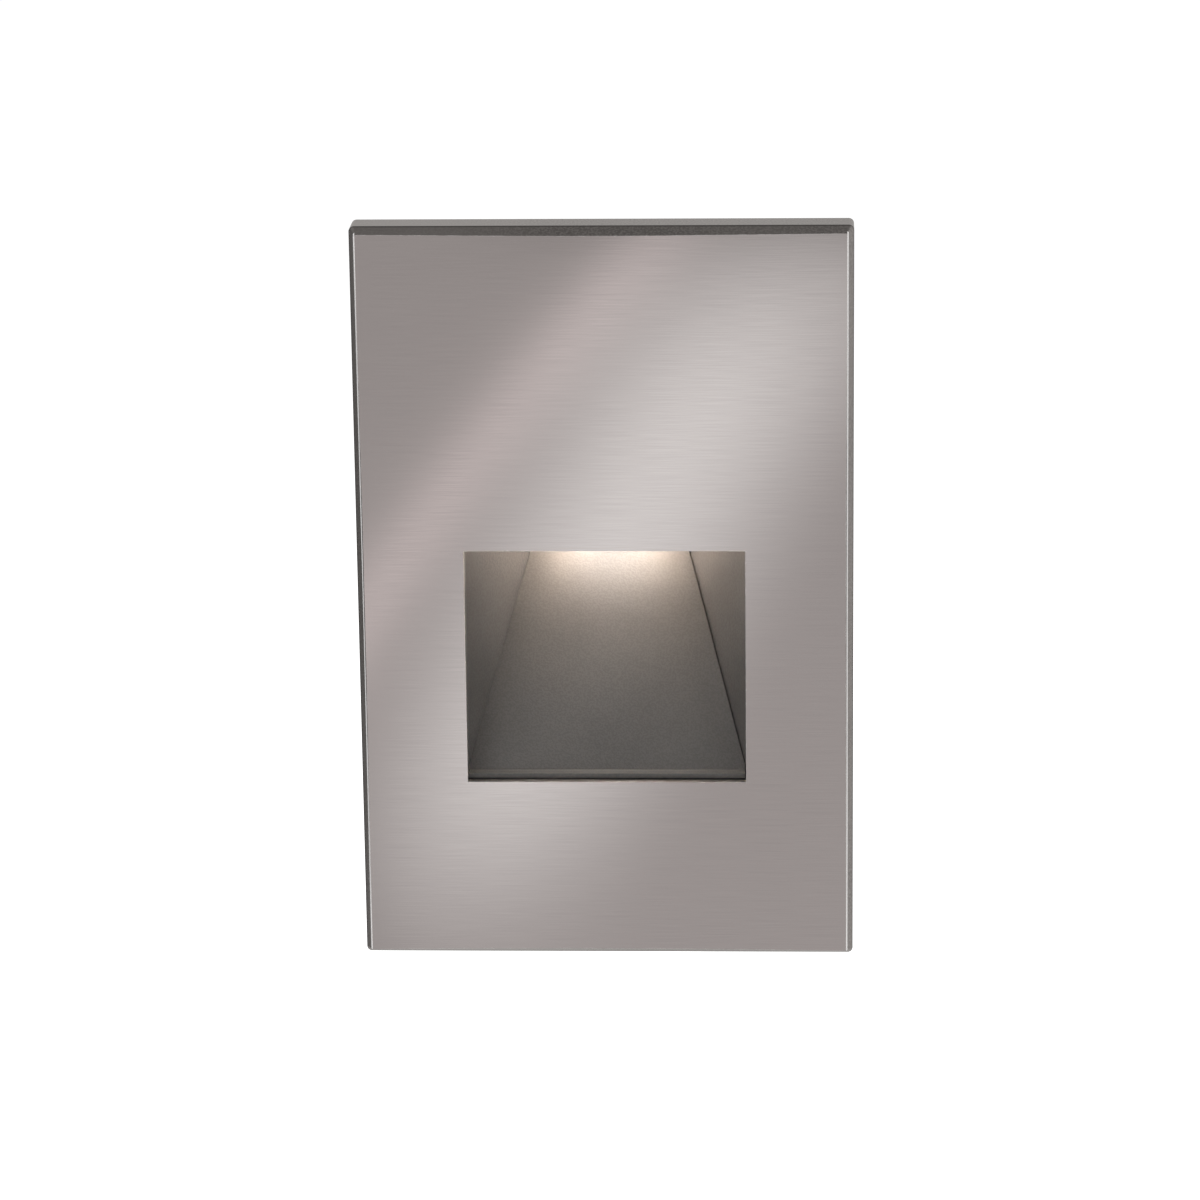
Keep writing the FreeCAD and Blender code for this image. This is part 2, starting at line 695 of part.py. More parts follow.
def heat_sink():
    """L-shaped aluminium extrusion with upright fins, screwed to the housing's front wall."""
    front = SINK_FRONT_Y
    leg_back = front + heat_sink_leg
    top = SINK_BOTTOM_Z + heat_sink_height
    deck = SINK_BOTTOM_Z + heat_sink_leg
    half = heat_sink_width / 2
    angle = side_profile([
        (front, SINK_BOTTOM_Z), (SINK_BACK_Y, SINK_BOTTOM_Z), (SINK_BACK_Y, deck),
        (leg_back, deck), (leg_back, top), (front, top)], half)
    corner = [edge for edge in angle.Edges
              if all(math.hypot(v.Y - leg_back, v.Z - deck) < same_place for v in edge.Vertexes)]
    angle = angle.makeFillet(heat_sink_fillet, corner)
    fins = []
    root_y = front + heat_sink_leg / 2
    root_z = deck - heat_sink_leg / 2
    for index in range(heat_sink_fin_count):
        x = -half + index * fin_pitch()
        wire = Part.makePolygon([Vector(x, y, z) for y, z in (
            (root_y, root_z), (SINK_BACK_Y, root_z), (SINK_BACK_Y, top - heat_sink_fin_chamfer),
            (SINK_BACK_Y - heat_sink_fin_chamfer, top), (root_y, top), (root_y, root_z))])
        fins.append(Part.Face(wire).extrude(X_AXIS * heat_sink_fin))
    sink = fuse_all([angle] + fins)
    holes = [rod(small_screw_radius + thread_clearance, Vector(x, y, SINK_BOTTOM_Z - cut_past),
                 Vector(x, y, deck + cut_past)) for x, y in led_board_screw_places()]
    holes += [rod(small_screw_radius + screw_hole_clearance, Vector(x, front - cut_past, z),
                  Vector(x, leg_back + cut_past, z)) for x, z in heat_sink_screw_places()]
    return sink.cut(Part.makeCompound(holes))


def heat_sink_screws():
    """Two screws that clamp the heat sink's upright leg on the housing."""
    seat_y = SINK_FRONT_Y + heat_sink_leg
    return [small_screw(Vector(x, seat_y, z), -Y_AXIS) for x, z in heat_sink_screw_places()]


def driver_post_places():
    """Middles of the four posts under the driver board, as x and z."""
    inset = 2 * driver_screw_inset
    return [(x, driver_centre_z + z)
            for x, z in mirrored_places(driver_width - inset, driver_height - inset)]


def driver_board():
    """Glass-fibre board of the driver, on four posts of the rear cover."""
    board = slab(driver_width, driver_height, driver_corner_radius, DRIVER_FRONT_Y, DRIVER_BACK_Y,
                 0, driver_centre_z)
    holes = [rod(small_screw_radius + screw_hole_clearance, Vector(x, DRIVER_FRONT_Y - cut_past, z),
                 Vector(x, DRIVER_BACK_Y + cut_past, z)) for x, z in driver_post_places()]
    return board.cut(Part.makeCompound(holes))


def driver_screws():
    """Four screws that hold the driver board on its posts."""
    return [small_screw(Vector(x, DRIVER_FRONT_Y, z), Y_AXIS) for x, z in driver_post_places()]


def driver_transformer():
    """Ferrite frame with two windows, and the winding around its middle leg."""
    x, z = transformer_place
    leg = transformer_leg
    window = transformer_width / 2 - 2 * leg
    length = transformer_height - 2 * leg
    start_y = DRIVER_FRONT_Y - leg
    core = slab(transformer_width, transformer_core, transformer_corner_radius,
                DRIVER_FRONT_Y - transformer_height, DRIVER_FRONT_Y, x, z)
    windows = []
    for low_x in (x - leg - window, x + leg):
        windows.append(Part.makeBox(window, length, transformer_core + 2 * cut_past, Vector(
            low_x, start_y - length, z - transformer_core / 2 - cut_past)))
    core = core.cut(Part.makeCompound(windows))
    winding = slab(2 * (leg + window - winding_gap), transformer_core + 2 * window, leg,
                   start_y - winding_gap, start_y - length + winding_gap, x, z)
    hole = slab(2 * (leg + winding_gap), transformer_core + 2 * winding_gap, 2 * winding_gap,
                start_y, start_y - length, x, z)
    return [core, winding.cut(hole)]


def can(place, radius, height):
    """Electrolytic capacitor: a can with a bead near its foot and a rounded top edge."""
    x, z = place
    bead = capacitor_bead
    groove = capacitor_groove_up
    outline = [(0, 0), (radius - bead / 2, 0), (radius, bead), (radius, groove - capacitor_groove_half),
               (radius - bead, groove), (radius, groove + capacitor_groove_half),
               (radius, height - bead), (radius - bead, height), (0, height)]
    points = [Vector(x + across, DRIVER_FRONT_Y - up, z) for across, up in outline + outline[:1]]
    return Part.Face(Part.makePolygon(points)).revolve(Vector(x, 0, z), Y_AXIS, 360)


def driver_capacitors():
    """Two electrolytic cans and one film capacitor in a moulded case."""
    cans = [can(place, capacitor_radius, capacitor_height) for place in capacitor_places]
    x, z = film_capacitor_place
    film = slab(film_capacitor_width, film_capacitor_depth, film_capacitor_corner_radius,
                DRIVER_FRONT_Y - film_capacitor_height, DRIVER_FRONT_Y, x, z)
    return cans + [film]


def driver_choke():
    """Drum choke: a ferrite bobbin with a winding between its two flanges."""
    x, z = choke_place
    flange = choke_flange
    waist = choke_radius - choke_winding_inset
    outline = [(0, 0), (choke_radius, 0), (choke_radius, flange), (waist, flange),
               (waist, choke_height - flange), (choke_radius, choke_height - flange),
               (choke_radius, choke_height), (0, choke_height)]
    points = [Vector(x + across, DRIVER_FRONT_Y - up, z) for across, up in outline + outline[:1]]
    return Part.Face(Part.makePolygon(points)).revolve(Vector(x, 0, z), Y_AXIS, 360)


def driver_fuse():
    """Small round fuse that stands on the board."""
    x, z = fuse_place
    body = rod(fuse_radius, Vector(x, DRIVER_FRONT_Y, z), Vector(x, DRIVER_FRONT_Y - fuse_height, z))
    rim = [edge for edge in body.Edges
           if all(abs(v.Y - (DRIVER_FRONT_Y - fuse_height)) < same_place for v in edge.Vertexes)]
    return body.makeFillet(fuse_edge_radius, rim)


def driver_rectifier():
    """Moulded bridge rectifier with one corner cut off."""
    x, z = rectifier_place
    half = rectifier_size / 2
    inner = half - rectifier_corner_cut
    points = [(-half, -half), (half, -half), (half, inner), (inner, half), (-half, half)]
    wire = Part.makePolygon([Vector(x + a, DRIVER_FRONT_Y, z + b) for a, b in points + points[:1]])
    return Part.Face(wire).extrude(-Y_AXIS * rectifier_height)


def driver_chip():
    """Controller chip with four bent legs on each side."""
    x, z = chip_place
    body = slab(chip_width, chip_length, chip_corner_radius, DRIVER_FRONT_Y - chip_height,
                DRIVER_FRONT_Y - chip_standoff, x, z)
    thick = chip_leg_thickness
    high = chip_height / 2
    legs = []
    for index in range(chip_legs_per_side):
        leg_z = z + (index - (chip_legs_per_side - 1) / 2) * chip_leg_pitch
        for side in (-1, 1):
            shoulder = chip_width / 2
            knee = shoulder + chip_leg_reach / 2
            toe = shoulder + chip_leg_reach
            outline = [(shoulder, high), (knee, high), (knee, 0), (toe, 0), (toe, thick),
                       (knee + thick, thick), (knee + thick, high + thick), (shoulder, high + thick)]
            points = [Vector(x + side * out, DRIVER_FRONT_Y - up, leg_z - chip_leg_width / 2)
                      for out, up in outline + outline[:1]]
            legs.append(Part.Face(Part.makePolygon(points)).extrude(Z_AXIS * chip_leg_width))
    return fuse_all([body] + legs)


def driver_resistors():
    """Row of barrel resistors, each on two flat legs bent down to the board."""
    resistors = []
    first_x, z = resistor_place
    half = resistor_length / 2
    leg = resistor_leg_half
    root = half - resistor_leg_inset
    inner = half + resistor_leg_inner
    outer = half + resistor_leg_outer
    for index in range(resistor_count):
        x = first_x + index * resistor_pitch
        axis_y = DRIVER_FRONT_Y - resistor_radius - leg
        outline = [(0, -half), (resistor_radius, -half), (resistor_radius, half), (0, half)]
        points = [Vector(x + across, axis_y, z + along) for across, along in outline + outline[:1]]
        barrel = Part.Face(Part.makePolygon(points)).revolve(Vector(x, axis_y, z), Z_AXIS, 360)
        legs = []
        for side in (-1, 1):
            strip = side_profile([
                (axis_y - leg, z + side * root), (axis_y - leg, z + side * outer),
                (DRIVER_FRONT_Y, z + side * outer), (DRIVER_FRONT_Y, z + side * inner),
                (axis_y + leg, z + side * inner), (axis_y + leg, z + side * root)], leg)
            legs.append(strip.translated(Vector(x, 0, 0)))
        resistors.append(fuse_all([barrel] + legs))
    return resistors


def led_leads():
    """The two insulated leads: down from the light board's rear end, a bend, back to the driver."""
    start_y = lens_centre_y + led_board_length / 2 - lead_pad_inset
    low_z = BOARD_BOTTOM_Z - lead_drop
    bend = lead_drop - lead_radius
    leads = []
    for side in (-1, 1):
        x = side * lead_spacing / 2
        centre = Vector(x, start_y + bend, low_z + bend)
        middle = centre - (Y_AXIS + Z_AXIS) * (bend * math.sin(math.radians(45)))
        start = Vector(x, start_y, BOARD_BOTTOM_Z)
        bend_start = Vector(x, start_y, centre.z)
        bend_end = Vector(x, centre.y, low_z)
        path = Part.Wire([
            Part.LineSegment(start, bend_start).toShape(), Part.Arc(bend_start, middle, bend_end).toShape(),
            Part.LineSegment(bend_end, Vector(x, DRIVER_FRONT_Y, low_z)).toShape()])
        circle = Part.makeCircle(lead_radius, start, Z_AXIS)
        leads.append(path.makePipeShell([Part.Wire([circle])], True, False))
    return leads


def rear_cover():
    """Cover of the tub with driver posts, a raised panel outside and a hole for the bushing."""
    plate = slab(housing_width, housing_height, housing_corner_radius, COVER_FRONT_Y, COVER_BACK_Y)
    panel = slab(cover_panel_width, cover_panel_height, cover_panel_radius, COVER_BACK_Y,
                 COVER_BACK_Y + cover_panel_rise, 0, cover_panel_centre_z)
    rim = [edge for edge in panel.Edges
           if all(abs(v.Y - COVER_BACK_Y - cover_panel_rise) < same_place for v in edge.Vertexes)]
    panel = panel.makeChamfer(cover_panel_rise / 2, rim)
    posts = [rod(driver_post_radius, Vector(x, DRIVER_BACK_Y, z),
                 Vector(x, COVER_FRONT_Y + cover_thickness / 2, z))
             for x, z in driver_post_places()]
    cover = fuse_all([plate, panel] + posts)
    cuts = [rod(small_screw_radius + thread_clearance, Vector(x, DRIVER_BACK_Y - cut_past, z),
                Vector(x, DRIVER_BACK_Y + small_screw_length, z)) for x, z in driver_post_places()]
    cuts += [rod(cover_screw_radius + screw_hole_clearance, Vector(x, COVER_FRONT_Y - cut_past, z),
                 Vector(x, COVER_BACK_Y + cut_past, z)) for x, z in corner_post_places()]
    cuts.append(rod(bushing_radius + thread_clearance,
                    Vector(0, COVER_FRONT_Y - cut_past, bushing_centre_z),
                    Vector(0, COVER_BACK_Y + cut_past, bushing_centre_z)))
    return cover.cut(Part.makeCompound(cuts))


def rear_cover_gasket():
    """Rubber gasket of the rear cover, with an eye around each corner screw."""
    inner = slab(housing_width - 2 * housing_wall, housing_height - 2 * housing_wall,
                 housing_corner_radius - housing_wall, HOUSING_END_Y, COVER_FRONT_Y)
    outer = slab(housing_width, housing_height, housing_corner_radius, HOUSING_END_Y, COVER_FRONT_Y)
    eyes = []
    for x, z in corner_post_places():
        eye = rod(corner_post_radius, Vector(x, HOUSING_END_Y, z), Vector(x, COVER_FRONT_Y, z))
        eyes.append(eye.common(outer))
    ring = fuse_all([outer.cut(inner)] + eyes)
    holes = [rod(cover_screw_radius + screw_hole_clearance, Vector(x, HOUSING_END_Y - cut_past, z),
                 Vector(x, COVER_FRONT_Y + cut_past, z)) for x, z in corner_post_places()]
    return ring.cut(Part.makeCompound(holes))


def rear_cover_screws():
    """Four pan-head screws at the rear cover's corners."""
    return [pan_head_screw(Vector(x, COVER_BACK_Y, z), -Y_AXIS, cover_screw_radius, cover_screw_length,
                           cover_screw_head_radius, cover_screw_head_height)
            for x, z in corner_post_places()]


def driver_insulator():
    """Thin insulating sheet inside the rear cover, threaded over the driver's posts."""
    sheet = slab(driver_width, driver_height, driver_corner_radius,
                 COVER_FRONT_Y - insulator_thickness, COVER_FRONT_Y, 0, driver_centre_z)
    hole_radius = driver_post_radius + insulator_hole_gap
    holes = [rod(hole_radius, Vector(x, DRIVER_BACK_Y, z), Vector(x, COVER_BACK_Y, z))
             for x, z in driver_post_places()]
    notch = rod(bushing_flange_radius, Vector(0, DRIVER_BACK_Y, bushing_centre_z),
                Vector(0, COVER_BACK_Y, bushing_centre_z))
    return sheet.cut(Part.makeCompound(holes + [notch]))


def lead_bushing():
    """Snap-in bushing for the supply leads in the rear cover, turned about its bore."""
    lip_radius = bushing_radius + bushing_lip_reach
    lip_y = COVER_FRONT_Y - bushing_lip
    outer_y = COVER_BACK_Y + bushing_flange
    outline = [
        (bushing_bore_radius, lip_y), (bushing_radius - bushing_lead_in, lip_y),
        (lip_radius, COVER_FRONT_Y - bushing_lip_face), (lip_radius, COVER_FRONT_Y),
        (bushing_radius, COVER_FRONT_Y), (bushing_radius, COVER_BACK_Y),
        (bushing_flange_radius, COVER_BACK_Y), (bushing_flange_radius, outer_y - bushing_lip_reach),
        (bushing_flange_radius - bushing_lip_reach, outer_y), (bushing_bore_radius, outer_y)]
    points = [Vector(radius, y, bushing_centre_z) for radius, y in outline + outline[:1]]
    return Part.Face(Part.makePolygon(points)).revolve(Vector(0, 0, bushing_centre_z), Y_AXIS, 360)


def bend_edges(solid, y, z):
    """Edges along X at depth y, at the heights z and -z."""
    found = []
    for edge in solid.Edges:
        start, end = edge.Vertexes[0], edge.Vertexes[-1]
        level = abs(start.Z - end.Z) < same_place and abs(abs(start.Z) - z) < same_place
        if level and abs(start.Y - y) < same_place and abs(end.Y - y) < same_place:
            found.append(edge)
    return found


def mounting_bracket():
    """Bent steel yoke: flat on the wall, with an opening for the tub and a lip at each end."""
    front = -bracket_lip
    lip_inner = BRACKET_LIP_Z - bracket_sheet
    half = bracket_width / 2
    channel = side_profile([
        (front, -BRACKET_LIP_Z), (0, -BRACKET_LIP_Z), (0, BRACKET_LIP_Z), (front, BRACKET_LIP_Z),
        (front, lip_inner), (-bracket_sheet, lip_inner), (-bracket_sheet, -lip_inner),
        (front, -lip_inner)], half)
    channel = channel.makeFillet(bracket_bend_radius, bend_edges(channel, 0, BRACKET_LIP_Z))
    channel = channel.makeFillet(bracket_bend_radius - bracket_sheet,
                                 bend_edges(channel, -bracket_sheet, lip_inner))
    cuts = [slab(housing_width + 2 * bracket_opening_gap, housing_height + 2 * bracket_opening_gap,
                 housing_corner_radius + bracket_opening_gap, -bracket_sheet - cut_past, cut_past)]
    end_radius = box_screw_slot_radius - slot_end_flat
    for side in (-1, 1):
        cuts.append(slab(box_screw_slot_length, 2 * box_screw_slot_radius, end_radius,
                         -bracket_sheet - cut_past, cut_past, 0, side * box_screw_spacing / 2))
    x, z = ground_screw_place
    cuts.append(rod(ground_screw_radius + thread_clearance, Vector(x, -bracket_sheet - cut_past, z),
                    Vector(x, cut_past, z)))
    return channel.cut(Part.makeCompound(cuts))


def box_screws():
    """Two long screws into the wall box, each with a thin neck where it passes the bracket."""
    screws = []
    for side in (-1, 1):
        wall = Vector(0, 0, side * box_screw_spacing / 2)
        tip = wall + Y_AXIS * (box_screw_length - bracket_sheet)
        point = tip - Y_AXIS * (box_screw_radius - box_screw_neck_radius)
        head_and_neck = pan_head_screw(wall - Y_AXIS * bracket_sheet, Y_AXIS, box_screw_neck_radius,
                                       bracket_sheet, box_screw_head_radius, box_screw_head_height)
        shank = rod(box_screw_radius, wall, point)
        screws.append(fuse_all([head_and_neck, shank,
                                cone(box_screw_radius, box_screw_neck_radius, point, tip)]))
    return screws


def ground_screw():
    """Hexagonal green earth screw in the bracket."""
    x, z = ground_screw_place
    seat = Vector(x, -bracket_sheet, z)
    head = hexagon_prism(ground_head_flat, seat, -Y_AXIS, ground_head_height)
    washer = rod(ground_washer_radius, seat, seat - Y_AXIS * ground_washer_thickness)
    shank = rod(ground_screw_radius, seat, seat + Y_AXIS * ground_screw_length)
    slot = Part.makeBox(2 * ground_washer_radius, ground_slot_depth, ground_slot_width, Vector(
        x - ground_washer_radius, -bracket_sheet - ground_head_height, z - ground_slot_width / 2))
    return fuse_all([head, washer, shank]).cut(slot)


def wall_gasket():
    """Foam frame inside the pan's rim, flush with the rim against the wall."""
    outer = slab(PAN_INNER_WIDTH, PAN_INNER_HEIGHT, plate_corner_radius, -wall_gasket_thickness, 0)
    inner = slab(PAN_INNER_WIDTH - 2 * wall_gasket_width, PAN_INNER_HEIGHT - 2 * wall_gasket_width,
                 plate_corner_radius, -wall_gasket_thickness - cut_past, cut_past)
    return outer.cut(inner)


def write(node, shape):
    """Write one sub-part, a solid or a group of solids, to its STEP file."""
    solids = shape if isinstance(shape, list) else shape.Solids
    kept = solids[0] if len(solids) == 1 else Part.makeCompound(solids)
    broken = [solid for solid in kept.Solids if not solid.isValid()]
    kept.exportStep(os.path.join("parts", node + ".step"))
    print(node, len(kept.Solids), "solids", round(kept.Volume, 1), "mm3", "INVALID" if broken else "")


SUB_PARTS = (
    face_plate, wall_gasket, set_screws, housing, housing_gasket, housing_screws, reflector_ramp,
    ramp_tape, led_lens, lens_gasket, lens_retainer, lens_retainer_screws, led_board, led_chips,
    led_board_screws, thermal_pad, heat_sink, heat_sink_screws, led_leads, driver_board,
    driver_transformer, driver_capacitors, driver_choke, driver_fuse, driver_rectifier, driver_chip,
    driver_resistors, driver_screws, driver_insulator, rear_cover, rear_cover_gasket,
    rear_cover_screws, lead_bushing, mounting_bracket, box_screws, ground_screw)

os.makedirs("parts", exist_ok=True)
for make in SUB_PARTS:
    write(make.__name__, make())
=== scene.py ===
import json
import math

import bmesh
import bpy
from mathutils import Matrix, Vector

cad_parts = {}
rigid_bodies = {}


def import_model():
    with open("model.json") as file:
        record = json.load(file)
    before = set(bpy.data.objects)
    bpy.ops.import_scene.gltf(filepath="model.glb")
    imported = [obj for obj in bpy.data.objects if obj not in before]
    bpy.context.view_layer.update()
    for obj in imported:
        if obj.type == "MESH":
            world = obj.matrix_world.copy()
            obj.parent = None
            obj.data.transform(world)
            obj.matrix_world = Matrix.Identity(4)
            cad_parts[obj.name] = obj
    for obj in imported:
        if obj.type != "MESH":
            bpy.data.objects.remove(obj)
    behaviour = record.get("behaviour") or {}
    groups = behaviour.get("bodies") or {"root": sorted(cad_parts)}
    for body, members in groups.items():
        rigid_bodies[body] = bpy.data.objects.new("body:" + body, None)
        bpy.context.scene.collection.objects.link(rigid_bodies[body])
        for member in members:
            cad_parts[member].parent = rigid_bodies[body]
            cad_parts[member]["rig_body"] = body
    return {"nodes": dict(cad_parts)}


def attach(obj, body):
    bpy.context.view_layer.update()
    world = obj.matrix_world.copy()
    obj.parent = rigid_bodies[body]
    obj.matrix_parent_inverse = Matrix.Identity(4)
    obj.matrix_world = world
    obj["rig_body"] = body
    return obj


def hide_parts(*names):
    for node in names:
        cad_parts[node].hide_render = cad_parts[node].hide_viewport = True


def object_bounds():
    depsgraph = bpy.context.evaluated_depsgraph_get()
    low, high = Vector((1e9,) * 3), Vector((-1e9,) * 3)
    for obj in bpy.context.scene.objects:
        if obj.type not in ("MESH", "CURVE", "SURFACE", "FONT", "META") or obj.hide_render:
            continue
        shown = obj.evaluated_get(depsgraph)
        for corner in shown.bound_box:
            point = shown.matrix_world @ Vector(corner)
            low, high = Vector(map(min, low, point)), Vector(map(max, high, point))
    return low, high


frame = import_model()
cad_low, cad_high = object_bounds()
MM = 0.001

# --- Camera ---
# A long lens looks down on the plate from a little to its right, so the top edge, the left bevel
# and the ramp inside the window show. Pitch is below the horizon and yaw is towards -X.
camera_place = Vector((36.4, -819.7, 230.9)) * MM
camera_pitch = math.radians(15.869)
camera_yaw = math.radians(2.624)
camera_roll = math.radians(-0.71)
level_ahead = Vector((-math.sin(camera_yaw), math.cos(camera_yaw), 0))
level_right = Vector((math.cos(camera_yaw), math.sin(camera_yaw), 0))
ahead = level_ahead * math.cos(camera_pitch) - Vector((0, 0, math.sin(camera_pitch)))
tilted_up = level_ahead * math.sin(camera_pitch) + Vector((0, 0, math.cos(camera_pitch)))
right = level_right * math.cos(camera_roll) + tilted_up * math.sin(camera_roll)
upright = tilted_up * math.cos(camera_roll) - level_right * math.sin(camera_roll)
camera_data = bpy.data.cameras.new("camera")
camera_data.lens = 147.36
camera_data.sensor_width = 36.0
camera_data.clip_start = 0.05
camera_data.clip_end = 50.0
camera = bpy.data.objects.new("camera", camera_data)
camera_turn = Matrix((right, upright, -ahead)).transposed().to_4x4()
camera.matrix_world = Matrix.Translation(camera_place) @ camera_turn
bpy.context.scene.collection.objects.link(camera)
bpy.context.scene.camera = camera
bpy.context.scene.view_settings.view_transform = "Standard"


# --- Studio ---
# A pale floor well below the light, which hangs as if on its wall, and a white surround. Soft
# lamps stand at both sides and behind, and the brushed metal mirrors a small tent of grey cloth.
def fill(tree, made, inputs):
    """Give a node's inputs, by name or number, a value each or a link from another socket."""
    for key, value in inputs.items():
        if isinstance(value, bpy.types.NodeSocket):
            tree.links.new(value, made.inputs[key])
        else:
            made.inputs[key].default_value = value


def node(tree, kind, inputs=None, **settings):
    """A shader node in tree with its settings and inputs."""
    made = tree.nodes.new("ShaderNode" + kind)
    for key, value in settings.items():
        setattr(made, key, value)
    fill(tree, made, inputs or {})
    return made


def math_node(tree, operation, *values):
    """Result of a Math node on values or sockets."""
    return node(tree, "Math", dict(enumerate(values)), operation=operation).outputs[0]


def blend(tree, factor, first, second, blend_type="MIX"):
    """Colour between first and second, each a colour or a socket."""
    made = node(tree, "Mix", {0: factor, 6: first, 7: second}, data_type="RGBA",
                blend_type=blend_type)
    return made.outputs[2]


def map_range(tree, value, low, high, to_low=0.0, to_high=1.0):
    """Value eased from one range to another and held at its ends."""
    made = node(tree, "MapRange", {0: value, 1: low, 2: high, 3: to_low, 4: to_high},
                interpolation_type="SMOOTHSTEP")
    return made.outputs[0]


def apart(tree, first, second):
    """How far apart two values are."""
    return math_node(tree, "ABSOLUTE", math_node(tree, "SUBTRACT", first, second))


def object_place(tree):
    """Place in the object's own axes, in metres."""
    return node(tree, "TexCoord").outputs["Object"]


def axes_of(tree, vector):
    """X, Y and Z of a vector."""
    return node(tree, "SeparateXYZ", {0: vector}).outputs


def grey(value, warmth=0.0):
    """Grey with a little more red than blue, as a colour."""
    return (value * (1 + warmth), value, value * (1 - warmth), 1.0)


def empty_tree(owner):
    """Node tree of a material or world with nothing in it."""
    owner.use_nodes = True
    owner.node_tree.nodes.clear()
    return owner.node_tree


def stage_object(name, bm):
    """Object of the stage from a mesh in the making."""
    mesh = bpy.data.meshes.new(name)
    bm.to_mesh(mesh)
    bm.free()
    made = bpy.data.objects.new(name, mesh)
    bpy.context.scene.collection.objects.link(made)
    return made


def seen_directly(tree):
    """One for what the camera sees, also in metal and through glass; zero for light on things."""
    rays = node(tree, "LightPath")
    seen = math_node(tree, "MAXIMUM", rays.outputs["Is Camera Ray"], rays.outputs["Is Glossy Ray"])
    return math_node(tree, "MAXIMUM", seen, rays.outputs["Is Transmission Ray"])


world = bpy.data.worlds.new("surround")
bpy.context.scene.world = world
tree = empty_tree(world)
surround_light = 0.45
surround_strength = math_node(tree, "MULTIPLY_ADD", seen_directly(tree), 1 - surround_light,
                              surround_light)
background = node(tree, "Background", {"Color": grey(1.0), "Strength": surround_strength})
node(tree, "OutputWorld", {"Surface": background.outputs[0]})

floor_height = -0.42
floor_size = 40.0
bm = bmesh.new()
bmesh.ops.create_grid(bm, x_segments=4, y_segments=4, size=floor_size / 2)
bmesh.ops.translate(bm, vec=(0, 0, floor_height), verts=bm.verts)
floor = stage_object("floor", bm)
floor_paper = bpy.data.materials.new("floor_paper")
tree = empty_tree(floor_paper)
paper = node(tree, "BsdfDiffuse", {"Color": grey(0.86)})
paper_white = node(tree, "Emission", {"Color": grey(1.0), "Strength": 0.62})
bright_paper = node(tree, "AddShader", {0: paper.outputs[0], 1: paper_white.outputs[0]})
floor_shader = node(tree, "MixShader",
                    {0: seen_directly(tree), 1: paper.outputs[0], 2: bright_paper.outputs[0]})
node(tree, "OutputMaterial", {"Surface": floor_shader.outputs[0]})
floor.data.materials.append(floor_paper)


def lamp(name, place, size, power):
    """Soft square lamp that faces the light; the tent stands in for it in reflections."""
    data = bpy.data.lights.new(name, "AREA")
    data.size = size
    data.energy = power
    made = bpy.data.objects.new(name, data)
    made.location = place
    made.rotation_euler = (-Vector(place)).to_track_quat("-Z", "Y").to_euler()
    made.visible_glossy = False
    made.visible_camera = False
    bpy.context.scene.collection.objects.link(made)


lamp("key_lamp", (-0.9, -1.1, 1.2), 0.9, 16.0)
lamp("fill_lamp", (1.2, -0.9, 0.5), 0.9, 8.0)
lamp("back_lamp", (0.3, 1.3, 0.9), 0.9, 12.0)

# The tent's cloth is lit evenly at the front and falls off to its far end, its roof and its sides.
tent_radius = 0.40
bm = bmesh.new()
bmesh.ops.create_icosphere(bm, subdivisions=4, radius=tent_radius)
tent = stage_object("tent", bm)
tent_cloth = bpy.data.materials.new("tent_cloth")
tree = empty_tree(tent_cloth)
direction = node(tree, "VectorMath", {0: object_place(tree)}, operation="NORMALIZE")
axes = axes_of(tree, direction.outputs[0])
shade = blend(tree, map_range(tree, axes["Y"], -0.5, 0.8), grey(0.80, 0.01), grey(0.40, 0.03))
shade = blend(tree, map_range(tree, axes["Z"], 0.45, 0.95), shade, grey(0.16, 0.04))
shade = blend(tree, map_range(tree, axes["X"], -0.35, -0.85), shade, grey(0.13, 0.03))
shade = blend(tree, map_range(tree, axes["X"], 0.45, 0.90), shade, grey(0.36, 0.03))
cloth_glow = node(tree, "Emission", {"Color": shade})
node(tree, "OutputMaterial", {"Surface": cloth_glow.outputs[0]})
tent.data.materials.append(tent_cloth)

# Its front card is grey with two soft diagonal strips of light, a narrow and a broad one, and is
# dimmed at the low left and the top right.
card_distance = 0.1
card_reach = 0.35
bm = bmesh.new()
bmesh.ops.create_grid(bm, x_segments=4, y_segments=4, size=card_reach)
bmesh.ops.rotate(bm, cent=(0, 0, 0), matrix=Matrix.Rotation(math.radians(90), 3, "X"),
                 verts=bm.verts)
bmesh.ops.translate(bm, vec=(0, cad_low.y - card_distance, 0), verts=bm.verts)
card = stage_object("tent_front", bm)
card_cloth = bpy.data.materials.new("tent_front_cloth")
tree = empty_tree(card_cloth)
axes = axes_of(tree, object_place(tree))


def soft_strip(tree, axes, climb, offset, middle, curve, softness):
    """Strip that climbs to the right at an angle, brightest at offset across it and bowed about
    its middle."""
    slant = math.radians(climb)
    across = math_node(tree, "MULTIPLY", axes["X"], math.sin(slant))
    across = math_node(tree, "MULTIPLY_ADD", axes["Z"], -math.cos(slant), across)
    along = math_node(tree, "MULTIPLY", axes["X"], math.cos(slant))
    along = math_node(tree, "MULTIPLY_ADD", axes["Z"], math.sin(slant), along)
    along = math_node(tree, "SUBTRACT", along, middle)
    bow = math_node(tree, "MULTIPLY", math_node(tree, "MULTIPLY", along, along), curve)
    distance = apart(tree, math_node(tree, "SUBTRACT", across, offset), bow)
    return map_range(tree, distance, 0.0, softness, 1.0, 0.0)


